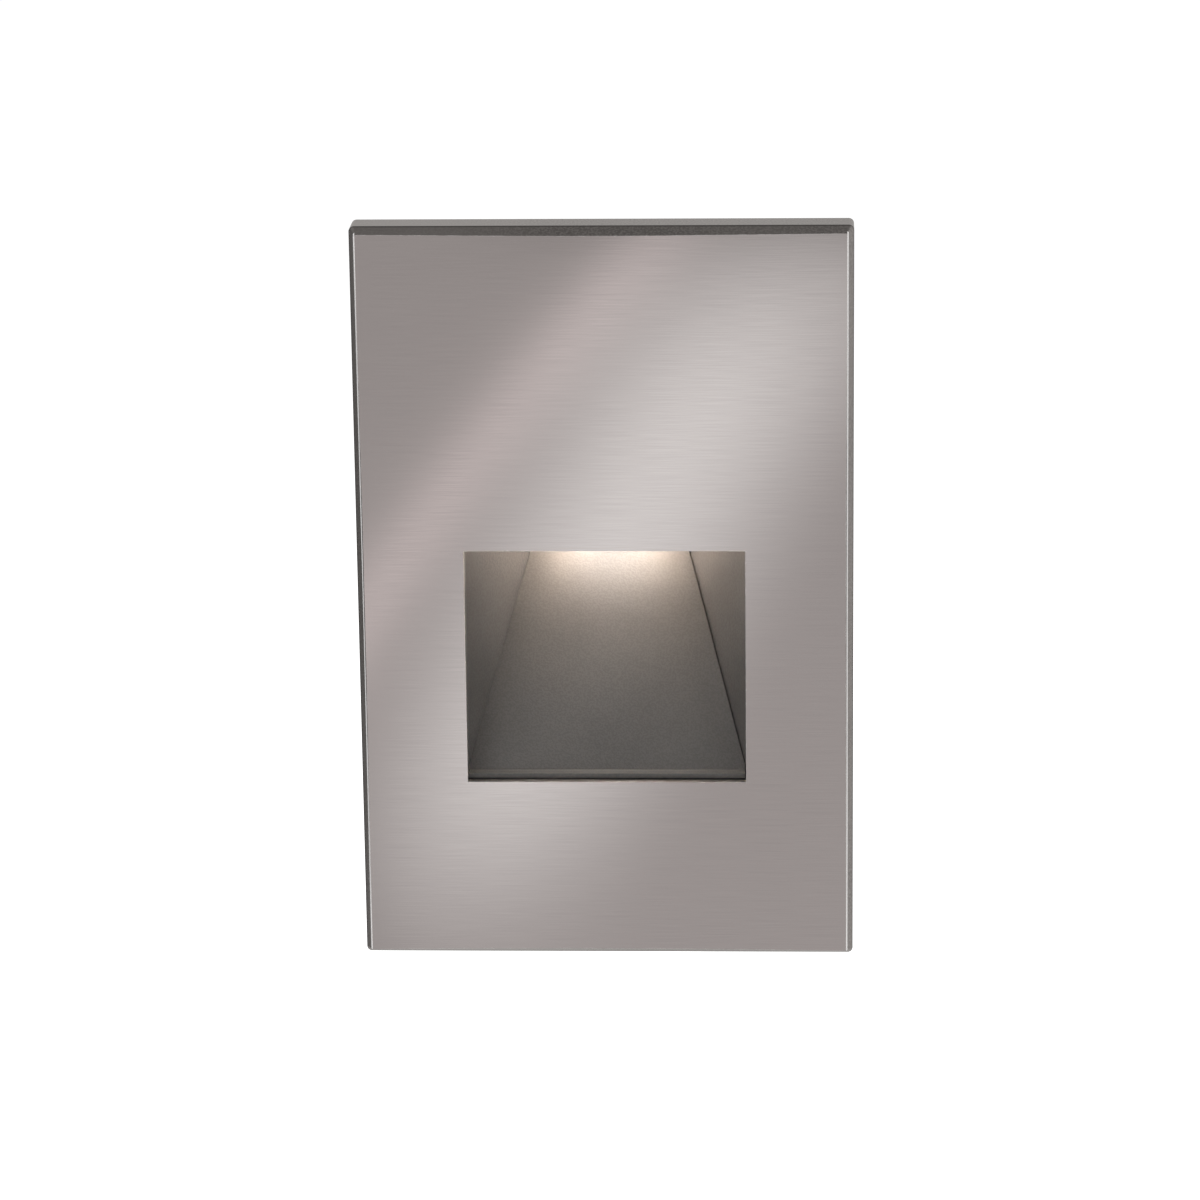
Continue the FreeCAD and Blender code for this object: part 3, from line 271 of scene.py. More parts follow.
narrow_strip = soft_strip(tree, axes, 52.4, -0.0228, -0.015, 0.8, 0.0090)
broad_strip = soft_strip(tree, axes, 58.8, 0.0076, 0.0214, 0.85, 0.036)
from_middle = math_node(tree, "ABSOLUTE", math_node(tree, "ADD", axes["Z"], 0.023))
broad_strip = math_node(tree, "MULTIPLY", broad_strip,
                        map_range(tree, from_middle, 0.030, 0.090, 1.0, 0.0))
shade = blend(tree, map_range(tree, axes["Z"], -0.11, 0.06), grey(0.53, 0.02), grey(0.47, 0.02))
shade = blend(tree, narrow_strip, shade, (0.975, 0.915, 0.90, 1.0))
shade = blend(tree, broad_strip, shade, (1.12, 1.145, 1.13, 1.0))
low_left = math_node(tree, "MULTIPLY", map_range(tree, axes["X"], -0.065, -0.035, 1.0, 0.0),
                     map_range(tree, axes["Z"], -0.10, -0.03, 1.0, 0.0))
top_right = math_node(tree, "MULTIPLY", map_range(tree, axes["X"], -0.050, 0.010),
                      map_range(tree, axes["Z"], 0.030, 0.060))
dimmed = math_node(tree, "MULTIPLY", map_range(tree, low_left, 0.0, 1.0, 1.0, 0.8),
                   map_range(tree, top_right, 0.0, 1.0, 1.0, 0.5))
cloth_glow = node(tree, "Emission", {"Color": shade, "Strength": dimmed})
node(tree, "OutputMaterial", {"Surface": cloth_glow.outputs[0]})
card.data.materials.append(card_cloth)
for cloth in (tent, card):
    cloth.visible_camera = False
    cloth.visible_diffuse = False
    cloth.visible_transmission = False
    cloth.visible_shadow = False
    cloth.data.materials[0].cycles.emission_sampling = "NONE"


# --- Mounting bracket ---
# A yoke bent from 1.5 mm steel strip and zinc plated after punching. It lies flat on the wall box,
# and its two lips carry the plate. The plating is a little cloudy and its edges are rubbed bright.
def softened(name, width, segments=2, corner=25.0):
    """Copy of a CAD piece with its flat faces joined and its sharp edges rounded by width."""
    source = frame["nodes"][name]
    mesh = source.data.copy()
    bm = bmesh.new()
    bm.from_mesh(mesh)
    bmesh.ops.remove_doubles(bm, verts=bm.verts, dist=1e-6)
    bmesh.ops.dissolve_limit(bm, angle_limit=math.radians(0.5), verts=bm.verts, edges=bm.edges)
    for face in bm.faces:
        face.smooth = True
    bm.to_mesh(mesh)
    bm.free()
    if mesh.attributes.get("custom_normal"):
        mesh.attributes.remove(mesh.attributes["custom_normal"])
    mesh.materials.clear()
    made = bpy.data.objects.new(name + "_piece", mesh)
    bpy.context.scene.collection.objects.link(made)
    rounding = made.modifiers.new("edges", "BEVEL")
    rounding.width = width
    rounding.segments = segments
    rounding.limit_method = "ANGLE"
    rounding.angle_limit = math.radians(corner)
    flat_faces = made.modifiers.new("flat_faces", "WEIGHTED_NORMAL")
    flat_faces.weight = 100
    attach(made, source["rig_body"])
    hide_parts(name)
    return made


def finished(made, material):
    """Give a piece its material."""
    made.data.materials.append(material)


def shaded(name, metallic=0.0):
    """New material, as material, tree and Principled shader."""
    material = bpy.data.materials.new(name)
    material.use_nodes = True
    shader = material.node_tree.nodes["Principled BSDF"]
    shader.inputs["Metallic"].default_value = metallic
    return material, material.node_tree, shader


def noise(tree, place, scale, detail):
    """Soft noise between about zero and one."""
    return node(tree, "TexNoise", {"Vector": place, "Scale": scale, "Detail": detail}).outputs[0]


def effect_group(name, inputs, outputs):
    """Group with named number inputs and named number outputs, and its start and end sockets."""
    group = bpy.data.node_groups.new(name, "ShaderNodeTree")
    for key, value in inputs.items():
        socket = group.interface.new_socket(key, in_out="INPUT", socket_type="NodeSocketFloat")
        socket.default_value = value
    for key in outputs:
        group.interface.new_socket(key, in_out="OUTPUT", socket_type="NodeSocketFloat")
    start = group.nodes.new("NodeGroupInput")
    end = group.nodes.new("NodeGroupOutput")
    return group, start.outputs, end.inputs


def outputs_of(tree, group, **inputs):
    """Outputs of an effect group used in tree."""
    return node(tree, "Group", inputs, node_tree=group).outputs


def relief(tree, shader, height, depth, strength=1.0):
    """Bump from a height between zero and one, depth metres deep."""
    bump = node(tree, "Bump", {"Strength": strength, "Distance": depth, "Height": height})
    fill(tree, shader, {"Normal": bump.outputs[0]})


# Rubbed edges: where the surface within a small radius turns away, the finish is worn.
worn, given, result = effect_group("rubbed_edges", {"Radius": 0.0003, "Breakup": 900.0}, ["Mask"])
rounded = node(worn, "Bevel", {"Radius": given["Radius"]}, samples=4)
true_shape = node(worn, "NewGeometry")
agreement = node(worn, "VectorMath",
                 {0: rounded.outputs[0], 1: true_shape.outputs["Normal"]}, operation="DOT_PRODUCT")
turned = map_range(worn, agreement.outputs["Value"], 0.995, 0.86)
place = object_place(worn)
breakup = noise(worn, place, given["Breakup"], 3.0)
patchy = map_range(worn, breakup, 0.35, 0.6)
worn.links.new(math_node(worn, "MULTIPLY", turned, patchy), result["Mask"])

# Cloudiness: slow drifts of tone and a fine grain, in metres, for plating, paint and plastic.
cloudy, given, result = effect_group("cloudy_grain", {"Cloud": 120.0, "Grain": 4000.0},
                                     ["Clouds", "Grain"])
place = object_place(cloudy)
slow = noise(cloudy, place, given["Cloud"], 3.0)
fast = noise(cloudy, place, given["Grain"], 2.0)
cloudy.links.new(map_range(cloudy, slow, 0.3, 0.7), result["Clouds"])
cloudy.links.new(map_range(cloudy, fast, 0.3, 0.7), result["Grain"])


def plated_metal(name, dull, bright, dull_gloss, bright_gloss, edge):
    """Metal whose tone and gloss drift between two values and whose edges are rubbed to a third."""
    material, tree, shader = shaded(name, 1.0)
    drift = outputs_of(tree, cloudy)
    rubbed = outputs_of(tree, worn)
    tone = blend(tree, drift["Clouds"], dull, bright)
    tone = blend(tree, rubbed["Mask"], tone, edge)
    fill(tree, shader, {"Base Color": tone})
    gloss = map_range(tree, drift["Clouds"], 0.0, 1.0, dull_gloss, bright_gloss)
    fill(tree, shader, {"Roughness": gloss})
    relief(tree, shader, drift["Grain"], 0.000006, 0.5)
    return material


zinc = plated_metal("zinc_plating", (0.46, 0.48, 0.50, 1), (0.60, 0.62, 0.64, 1), 0.42, 0.30,
                    (0.74, 0.74, 0.73, 1))
finished(softened("mounting_bracket", 0.12 * MM), zinc)


# --- Wall-box screws ---
# Two long machine screws into the wall box. They are cold headed and thread rolled from steel wire,
# with a cross recess in a domed pan head, and zinc plated.
def connected(touching):
    """Groups of keys that hang together; touching gives the keys that each one touches."""
    groups = []
    left = set(touching)
    while left:
        waiting = [left.pop()]
        group = []
        while waiting:
            group.append(waiting.pop())
            found = left.intersection(touching[group[-1]])
            left -= found
            waiting.extend(found)
        groups.append(group)
    return groups


def box_of(points):
    """Lowest and highest corner of the box round some points."""
    low = Vector(min(point[axis] for point in points) for axis in range(3))
    high = Vector(max(point[axis] for point in points) for axis in range(3))
    return low, high


def solids_of(name):
    """Lowest and highest corner of each separate solid in a CAD node."""
    bm = bmesh.new()
    bm.from_mesh(frame["nodes"][name].data)
    bmesh.ops.remove_doubles(bm, verts=bm.verts, dist=1e-6)
    touching = {vert: [edge.other_vert(vert) for edge in vert.link_edges] for vert in bm.verts}
    found = [box_of([vert.co for vert in group]) for group in connected(touching)]
    bm.free()
    return sorted(found, key=lambda corners: tuple(corners[0]))


def joined(bm, lower, upper):
    """Faces between two rings of as many points."""
    for step in range(len(lower)):
        after = (step + 1) % len(lower)
        bm.faces.new((lower[step], lower[after], upper[after], upper[step]))


# The innermost ring of a turned face as a part of its radius, and a rolled thread's depth as a part
# of its pitch.
centre_part = 0.02
thread_part = 0.42


def turned_grid(bm, rings, radius_at):
    """Surface turned about +Z: radius_at(ring, turn) gives each point's radius and height."""
    steps = 36
    rows = []
    for ring in range(rings + 1):
        row = []
        for step in range(steps):
            turn = 2 * math.pi * step / steps
            radius, height = radius_at(ring, turn)
            row.append(bm.verts.new((radius * math.cos(turn), radius * math.sin(turn), height)))
        rows.append(row)
    for lower, upper in zip(rows, rows[1:]):
        joined(bm, lower, upper)
    return rows


def turned_screw(bm, place, axis, surfaces):
    """Add to bm a screw that starts at place and points along axis. Its surfaces, from the head's
    face to the point, are each a number of rings and a function for turned_grid."""
    made = bmesh.new()
    grids = [turned_grid(made, rings, radius_at) for rings, radius_at in surfaces]
    made.faces.new(grids[0][0][::-1])
    made.faces.new(grids[-1][-1])
    for before, after in zip(grids, grids[1:]):
        joined(made, before[-1], after[0])
    bmesh.ops.recalc_face_normals(made, faces=made.faces)
    turn_to_axis = Vector((0, 0, 1)).rotation_difference(Vector(axis)).to_matrix().to_4x4()
    bmesh.ops.transform(made, matrix=Matrix.Translation(place) @ turn_to_axis, verts=made.verts)
    part = bpy.data.meshes.new("screw_part")
    made.to_mesh(part)
    made.free()
    bm.from_mesh(part)
    bpy.data.meshes.remove(part)


def screw_sizes(corners, axis):
    """Middle, length and head radius of a screw between two corners of its box."""
    size = corners[1] - corners[0]
    widths = [size[number] for number in range(3) if not axis[number]]
    return (corners[0] + corners[1]) / 2, abs(size.dot(Vector(axis))), min(widths) / 2


def thread_depth(height, turn, pitch, depth):
    """How far a rolled thread is below its crest, at a height and angle."""
    phase = (height / pitch - turn / (2 * math.pi)) % 1.0
    return depth * min(1.0, max(0.0, 1.5 - abs(phase - 0.5) * 5.0))


def cross_recess(part, angle, turn, reach):
    """Zero outside a cross recess, up to one at its floor, at a part of the head's radius and an
    angle. The cross is turned by turn and its arms reach a part of the radius."""
    width = 0.15
    unturned = Vector((part * math.cos(angle), part * math.sin(angle), 0))
    place = Matrix.Rotation(turn, 3, "Z") @ unturned
    across, along = sorted((abs(place.x), abs(place.y)))
    wall = min(1.0, max(0.0, (width - across) / (width * 0.35)))
    slope = min(1.0, max(0.0, (reach - along) / (reach * 0.45)))
    return wall * slope


def added_piece(bm, name, carrier, smooth_angle=35.0):
    """Object from a finished mesh that rides on the body of a CAD node."""
    mesh = bpy.data.meshes.new(name)
    sharp = math.radians(smooth_angle)
    for edge in bm.edges:
        edge.smooth = len(edge.link_faces) == 2 and edge.calc_face_angle(0.0) < sharp
    for face in bm.faces:
        face.smooth = True
    bm.to_mesh(mesh)
    bm.free()
    made = bpy.data.objects.new(name, mesh)
    bpy.context.scene.collection.objects.link(made)
    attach(made, frame["nodes"][carrier]["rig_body"])
    return made


def piece_from(bm, name):
    """Object from a finished mesh that stands for a CAD node."""
    made = added_piece(bm, name + "_piece", name)
    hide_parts(name)
    return made


def cross_headed_screws(name, axis, shank_radius, head_height, pitch, neck=0.0, neck_radius=0.0):
    """All pan-head screws of a CAD node; axis points along their shanks."""
    bm = bmesh.new()
    dome_rings = 14
    crown = head_height * 0.35
    cross_reach = 0.62
    recess_depth = head_height * 0.62
    for index, corners in enumerate(solids_of(name)):
        middle, length, head_radius = screw_sizes(corners, axis)
        shank = length - head_height
        rings = max(8, int(shank / pitch * 6))

        def dome(ring, angle, head_radius=head_radius, turn=0.7 + 1.9 * index):
            part = max(ring / dome_rings, centre_part)
            top = -head_height + crown * (1 - math.sqrt(max(0.0, 1 - part ** 2 * 0.96)))
            recess = cross_recess(part, angle, turn, cross_reach) * recess_depth
            return part * head_radius, top + recess

        def flank(ring, angle, head_radius=head_radius, shank=shank, rings=rings):
            if ring == 0:
                return head_radius, 0.0
            height = (ring - 1) / rings * shank
            if height < neck:
                return neck_radius, height
            tip = max(0.0, height - shank + pitch) * 0.5
            thread = thread_depth(height, angle, pitch, pitch * thread_part)
            return shank_radius - thread - tip, height

        seat = middle + Vector(axis) * (head_height - length / 2)
        turned_screw(bm, seat, axis, [(dome_rings, dome), (rings + 1, flank)])
    return piece_from(bm, name)


zinc_screw = plated_metal("zinc_screw", (0.50, 0.50, 0.49, 1), (0.66, 0.66, 0.64, 1), 0.34, 0.22,
                          (0.78, 0.78, 0.76, 1))
box_screws = cross_headed_screws("box_screws", (0, 1, 0), 1.75 * MM, 2.1 * MM, 0.79 * MM,
                                 1.5 * MM, 1.45 * MM)
finished(box_screws, zinc_screw)


# --- Earth screw ---
# A slotted hexagon-head screw with a washer face, cold headed from steel wire and threaded into the
# bracket. It is dyed green to show that the earth lead goes under it.
green_dye = plated_metal("green_dye", (0.012, 0.16, 0.055, 1), (0.02, 0.26, 0.09, 1), 0.42, 0.30,
                         (0.42, 0.52, 0.42, 1))
finished(softened("ground_screw", 0.10 * MM), green_dye)


# --- Wall gasket ---
# Closed-cell foam frame inside the plate's rim, die cut from sheet, so its faces show fine skin and
# its cut edges show open cells.
cells, given, result = effect_group("foam_cells", {"Size": 2600.0}, ["Height", "Tone"])
place = object_place(cells)
bubbles = node(cells, "TexVoronoi", {"Vector": place, "Scale": given["Size"]})
wander = noise(cells, place, 300.0, 4.0)
cells.links.new(map_range(cells, bubbles.outputs["Distance"], 0.0, 0.6, 1.0, 0.0), result["Height"])
cells.links.new(map_range(cells, wander, 0.3, 0.7), result["Tone"])


def foam(name, dark, light):
    """Foam rubber with cells of about 0.4 mm, their pits painted darker as shade."""
    material, tree, shader = shaded(name)
    structure = outputs_of(tree, cells)
    tone = blend(tree, structure["Tone"], dark, light)
    # Painted shade: the sunk middle of each cell is darkened towards the dark colour.
    tone = blend(tree, structure["Height"], tone, dark, "MULTIPLY")
    fill(tree, shader, {"Base Color": tone, "Roughness": 0.9})
    relief(tree, shader, structure["Height"], -0.00008, 0.8)
    return material


black_foam = foam("black_foam", (0.022, 0.022, 0.023, 1), (0.05, 0.05, 0.052, 1))
finished(softened("wall_gasket", 0.35 * MM, 3), black_foam)


# --- Face plate ---
# A pan pressed from stainless sheet, with a bevelled rim and a cut window. Its front is brushed
# level from side to side after pressing, and its cut edges are broken with a fine file.
brushed, given, result = effect_group("brush_lines", {"Spacing": 0.00013, "Length": 0.009},
                                      ["Lines", "Streaks", "Clouds"])
place = object_place(brushed)
shape = node(brushed, "NewGeometry")
axes = axes_of(brushed, place)
facing = axes_of(brushed, shape.outputs["Normal"])
not_side = math_node(brushed, "SUBTRACT", 1.0, math_node(brushed, "ABSOLUTE", facing["X"]))
across = math_node(brushed, "MULTIPLY_ADD", axes["Y"], not_side, axes["Z"])
along = math_node(brushed, "ADD", axes["X"], math_node(brushed, "MULTIPLY", axes["Y"], 0.7))


def grooves(tree, across, along, spacing, length, detail):
    """Noise drawn out along the brushing."""
    where = node(tree, "CombineXYZ", {
        0: math_node(tree, "DIVIDE", along, length), 1: 0.0,
        2: math_node(tree, "DIVIDE", across, spacing)})
    return noise(tree, where.outputs[0], 1.0, detail)


fine = grooves(brushed, across, along, given["Spacing"], given["Length"], 3.0)
wide_spacing = math_node(brushed, "MULTIPLY", given["Spacing"], 6.0)
long_run = math_node(brushed, "MULTIPLY", given["Length"], 3.0)
wide = grooves(brushed, across, along, wide_spacing, long_run, 2.0)
clouds = noise(brushed, place, 24.0, 2.0)
brushed.links.new(map_range(brushed, fine, 0.28, 0.72), result["Lines"])
brushed.links.new(map_range(brushed, wide, 0.3, 0.7), result["Streaks"])
brushed.links.new(map_range(brushed, clouds, 0.3, 0.7), result["Clouds"])

# The finish follows the plate: its window, the ridge between bevel and side, and the front face.
# The ridge gets a painted dark line of shade, and the face's sides a painted highlight.
window_drop = 12.2 * MM
cut_edge_reach = 24.6 * MM
ridge_depth = 5.75 * MM
face_half_width = 41.7 * MM
face_front = -7.4 * MM
stainless, tree, shader = shaded("brushed_stainless", 1.0)
brushing = outputs_of(tree, brushed)
rubbed = outputs_of(tree, worn, Radius=0.00018, Breakup=500.0)
shape = node(tree, "NewGeometry")
facing = axes_of(tree, shape.outputs["Normal"])
on_face = map_range(tree, math_node(tree, "ABSOLUTE", facing["Y"]), 0.90, 0.98)
place = object_place(tree)
axes = axes_of(tree, place)
from_window = math_node(tree, "MAXIMUM", math_node(tree, "ABSOLUTE", axes["X"]),
                        math_node(tree, "ABSOLUTE", math_node(tree, "ADD", axes["Z"], window_drop)))
cut_edge = math_node(tree, "MULTIPLY", math_node(tree, "LESS_THAN", from_window, cut_edge_reach),
                     math_node(tree, "SUBTRACT", 1.0, on_face))
tone = blend(tree, brushing["Lines"], (0.552, 0.504, 0.500, 1), (0.594, 0.542, 0.536, 1))
tone = blend(tree, math_node(tree, "MULTIPLY", brushing["Streaks"], 0.4), tone,
             (0.588, 0.539, 0.531, 1))
filed_tone_and_ridge_shade = blend(tree, brushing["Clouds"], (0.44, 0.42, 0.41, 1), (0.60, 0.57, 0.56, 1))
pressed = noise(tree, place, 2600.0, 2.0)
filed_tone_and_ridge_shade = blend(tree, map_range(tree, pressed, 0.38, 0.62), filed_tone_and_ridge_shade, (0.64, 0.61, 0.60, 1))
# Painted shade: a dark line along the ridge between bevel and side.
from_ridge = math_node(tree, "ABSOLUTE", math_node(tree, "ADD", axes["Y"], ridge_depth))
filed_tone_and_ridge_shade = blend(tree, map_range(tree, from_ridge, 0.0001, 0.0004, 0.7, 0.0), filed_tone_and_ridge_shade,
              (0.20, 0.19, 0.19, 1))
tone = blend(tree, on_face, filed_tone_and_ridge_shade, tone)
tone = blend(tree, cut_edge, tone, (0.60, 0.59, 0.57, 1))
# Painted highlight: a bright, matt line where the front face meets its left and right bevels, with
# the rubbed edges added, on the front only.
from_side = apart(tree, math_node(tree, "ABSOLUTE", axes["X"]), face_half_width)
painted_side_highlight = map_range(tree, from_side, 0.00006, 0.00018, 0.9, 0.0)
painted_highlight_and_wear = math_node(tree, "MAXIMUM", painted_side_highlight, math_node(tree, "MULTIPLY", rubbed["Mask"], 0.4))
painted_highlight_and_wear = math_node(tree, "MULTIPLY", painted_highlight_and_wear,
                      math_node(tree, "LESS_THAN", axes["Y"], face_front))
tone = blend(tree, painted_highlight_and_wear, tone, (0.95, 0.93, 0.92, 1))
fill(tree, shader, {"Base Color": tone})
gloss = math_node(tree, "MULTIPLY_ADD", brushing["Lines"], -0.03, 0.185)
gloss = math_node(tree, "MULTIPLY_ADD", brushing["Clouds"], 0.01, gloss)
gloss = math_node(tree, "MULTIPLY_ADD", painted_highlight_and_wear, 0.25, gloss)
gloss = math_node(tree, "MULTIPLY_ADD", cut_edge, 0.18, gloss)
fill(tree, shader, {"Roughness": gloss,
                    "Metallic": math_node(tree, "MULTIPLY_ADD", painted_highlight_and_wear, -0.85, 1.0),
                    "Anisotropic": 0.35})
upright = node(tree, "CombineXYZ", {2: 1.0})
fill(tree, shader, {"Tangent": upright.outputs[0]})
relief(tree, shader, brushing["Lines"], 0.0000018, 0.5)

finished(softened("face_plate", 0.13 * MM), stainless)


# --- Set screws ---
# Two cup-point socket screws of black-oxided steel in the bottom rim. They pinch the bracket's lip
# and hold the plate; their threads are rolled and the hexagon socket is broached.
def hex_recess(part, angle, half_flat):
    """Zero outside a hexagonal socket and one inside it, at a part of the radius and an angle."""
    reach = max(abs(part * math.cos(angle - turn)) for turn in (0, math.pi / 3, 2 * math.pi / 3))
    return min(1.0, max(0.0, (half_flat - reach) / (half_flat * 0.12)))


pitch = 0.5 * MM
socket_half_flat = 0.75 * MM
socket_depth = 1.5 * MM
face_rings, cup_rings = 10, 4
bm = bmesh.new()
for low, high in solids_of("set_screws"):
    middle = (low + high) / 2
    length = high.z - low.z
    radius = (high.x - low.x) / 2
    side_rings = int(length / pitch * 8)

    def socket_face(ring, angle, radius=radius):
        part = max(ring / face_rings, centre_part)
        recess = hex_recess(part, angle, socket_half_flat / radius) * socket_depth
        return part * radius * 0.9, recess

    def flank(ring, angle, radius=radius, length=length, rings=side_rings):
        height = ring / rings * length
        ends = max(0.0, pitch * 0.5 - min(height, length - height)) * 0.8
        return radius - thread_depth(height, angle, pitch, pitch * 0.5) - ends, height

    def cup(ring, angle, radius=radius, length=length):
        part = 1 - ring / cup_rings
        return max(part, centre_part) * radius * 0.7, length - math.sin(math.pi * part) * 0.15 * MM

    turned_screw(bm, (middle.x, middle.y, low.z), (0, 0, 1),
                 [(face_rings, socket_face), (side_rings, flank), (cup_rings, cup)])
black_oxide = plated_metal("black_oxide", (0.035, 0.036, 0.038, 1), (0.07, 0.07, 0.072, 1),
                           0.42, 0.3, (0.32, 0.31, 0.30, 1))
finished(piece_from(bm, "set_screws"), black_oxide)


# --- Housing gasket ---
# A ring of closed-cell foam, die cut like the wall gasket. The flange's screws squeeze it between
# the plate and the housing, all round the niche's mouth.
grey_foam = foam("grey_foam", (0.05, 0.05, 0.052, 1), (0.09, 0.09, 0.092, 1))
finished(softened("housing_gasket", 0.2 * MM, 3), grey_foam)


# --- Housing ---
# Die-cast aluminium tub with the niche and its flange in one piece, tumbled and then coated with a
# fine-textured dark grey powder, which is thin at the edges.
housing_coat, tree, shader = shaded("housing_coat")
drift = outputs_of(tree, cloudy, Cloud=60.0, Grain=2600.0)
rubbed = outputs_of(tree, worn, Radius=0.0004)
tone = blend(tree, drift["Clouds"], (0.050, 0.0485, 0.047, 1), (0.066, 0.064, 0.062, 1))
specks = map_range(tree, drift["Grain"], 0.3, 0.7, 0.87, 1.13)
tone = blend(tree, 1.0, tone, specks, "MULTIPLY")
tone = blend(tree, math_node(tree, "MULTIPLY", rubbed["Mask"], 0.3), tone, (0.20, 0.195, 0.19, 1))
fill(tree, shader, {"Base Color": tone, "Roughness": 0.5, "Specular IOR Level": 0.9})
relief(tree, shader, drift["Grain"], 0.00003, 0.6)
finished(softened("housing", 0.3 * MM, 3), housing_coat)


# --- Housing screws ---
# Four countersunk machine screws, cold headed and thread rolled from steel wire and zinc plated.
# They go through the flange into the bosses at the back of the plate.
def countersunk_screws(name, axis, shank_radius, head_height, pitch):
    """All countersunk screws of a CAD node; axis points along their shanks."""
    bm = bmesh.new()
    face_rings = 12
    cross_reach = 0.6
    recess_depth = head_height * 0.8
    for index, corners in enumerate(solids_of(name)):
        middle, length, head_radius = screw_sizes(corners, axis)
        rings = int((length - head_height) / pitch * 8)

        def face(ring, angle, head_radius=head_radius, turn=0.4 + 2.3 * index):
            part = max(ring / face_rings, centre_part)
            return part * head_radius, cross_recess(part, angle, turn, cross_reach) * recess_depth

        def flank(ring, angle, head_radius=head_radius, length=length, rings=rings):
            if ring < 2:
                return head_radius - ring * (head_radius - shank_radius), ring * head_height
            height = head_height + (ring - 1) / rings * (length - head_height)
            tip = max(0.0, height - length + pitch) * 0.5
            thread = thread_depth(height, angle, pitch, pitch * thread_part)
            return shank_radius - thread - tip, height

        start = middle - Vector(axis) * length / 2
        turned_screw(bm, start, axis, [(face_rings, face), (rings + 1, flank)])
    return piece_from(bm, name)


screw_steel = plated_metal("screw_steel", (0.42, 0.42, 0.41, 1), (0.58, 0.58, 0.57, 1), 0.36, 0.24,
                           (0.72, 0.72, 0.70, 1))
finished(countersunk_screws("housing_screws", (0, -1, 0), 1.5 * MM, 1.6 * MM, 0.5 * MM),
         screw_steel)


# --- Reflector ramp ---
# Thin aluminium sheet, bent once at the sill and bonded to the ramp. It is painted satin grey, and
# throws the light forward onto the step.
ramp_paint, tree, shader = shaded("ramp_paint")
drift = outputs_of(tree, cloudy, Cloud=45.0, Grain=3200.0)
rubbed = outputs_of(tree, worn, Radius=0.0002)
shape = node(tree, "NewGeometry")
level = axes_of(tree, shape.outputs["Normal"])["Z"]
tone = blend(tree, drift["Clouds"], (0.063, 0.0605, 0.059, 1), (0.073, 0.070, 0.068, 1))
# Painted shade: faces that look upward, the sill most, are turned darker and a little greener.
tone = blend(tree, map_range(tree, level, 0.80, 0.97), tone, (0.050, 0.052, 0.050, 1))
specks = map_range(tree, drift["Grain"], 0.3, 0.7, 0.91, 1.09)
tone = blend(tree, 1.0, tone, specks, "MULTIPLY")
tone = blend(tree, math_node(tree, "MULTIPLY", rubbed["Mask"], 0.15), tone, (0.20, 0.195, 0.19, 1))
fill(tree, shader, {"Base Color": tone, "Roughness": 0.55, "Specular IOR Level": 0.6})
relief(tree, shader, drift["Grain"], 0.00002, 0.6)
finished(softened("reflector_ramp", 0.06 * MM), ramp_paint)


# --- Ramp tape ---
# Double-sided acrylic tape, cut a little smaller than the sheet that it holds on the casting's
# ramp. It is milky, and its liner left it slightly ribbed.
def moulded(name, dark, light, gloss, cloud=150.0, grain=3500.0, depth=0.000015):
    """Plastic, rubber or resin, a little cloudy and with a fine grain."""
    material, tree, shader = shaded(name)
    drift = outputs_of(tree, cloudy, Cloud=cloud, Grain=grain)
    tone = blend(tree, drift["Clouds"], dark, light)
    fill(tree, shader, {"Base Color": tone, "Roughness": gloss})
    relief(tree, shader, drift["Grain"], depth, 0.5)
    return material


tape_film = moulded("tape_film", (0.52, 0.52, 0.50, 1), (0.66, 0.66, 0.63, 1), 0.5, 200.0, 5000.0,
                    0.00001)
finished(softened("ramp_tape", 0.04 * MM), tape_film)


# --- Lens gasket ---
# A ring moulded from dark, matt silicone. It lies round the opening in the niche's ceiling, and
# the lens is pressed down on it.
dark_silicone = moulded("dark_silicone", (0.03, 0.03, 0.031, 1), (0.055, 0.055, 0.056, 1), 0.55)
finished(softened("lens_gasket", 0.15 * MM, 3), dark_silicone)


# --- Lens ---
# Borosilicate window with a boss that fills the opening in the niche's ceiling. It is frosted from
# below and glows with the chips behind it: near white in the middle and warmer towards its ends.
lens_low, lens_high = solids_of("led_lens")[0]
frosted_glass, tree, shader = shaded("frosted_glass")
place = object_place(tree)
frost = noise(tree, place, 2500.0, 3.0)
tone = blend(tree, frost, (0.78, 0.77, 0.74, 1), (0.90, 0.89, 0.87, 1))
fill(tree, shader, {"Base Color": tone, "Roughness": 0.5})
axes = axes_of(tree, place)
from_middle = math_node(tree, "ABSOLUTE", axes["X"])
warmth = map_range(tree, from_middle, 0.0020, 0.0080)
glow = blend(tree, warmth, (1.0, 0.92, 0.86, 1), (1.0, 0.79, 0.62, 1))
fill(tree, shader, {"Emission Color": glow})
strength = map_range(tree, from_middle, 0.0010, 0.0085, 14.0, 64.0)
shadow_side = map_range(tree, axes["Y"], 0.0085, 0.0185, 1.6, 0.15)
fill(tree, shader, {"Emission Strength": math_node(tree, "MULTIPLY", strength, shadow_side)})
relief(tree, shader, frost, 0.00001, 0.4)
finished(softened("led_lens", 0.12 * MM), frosted_glass)

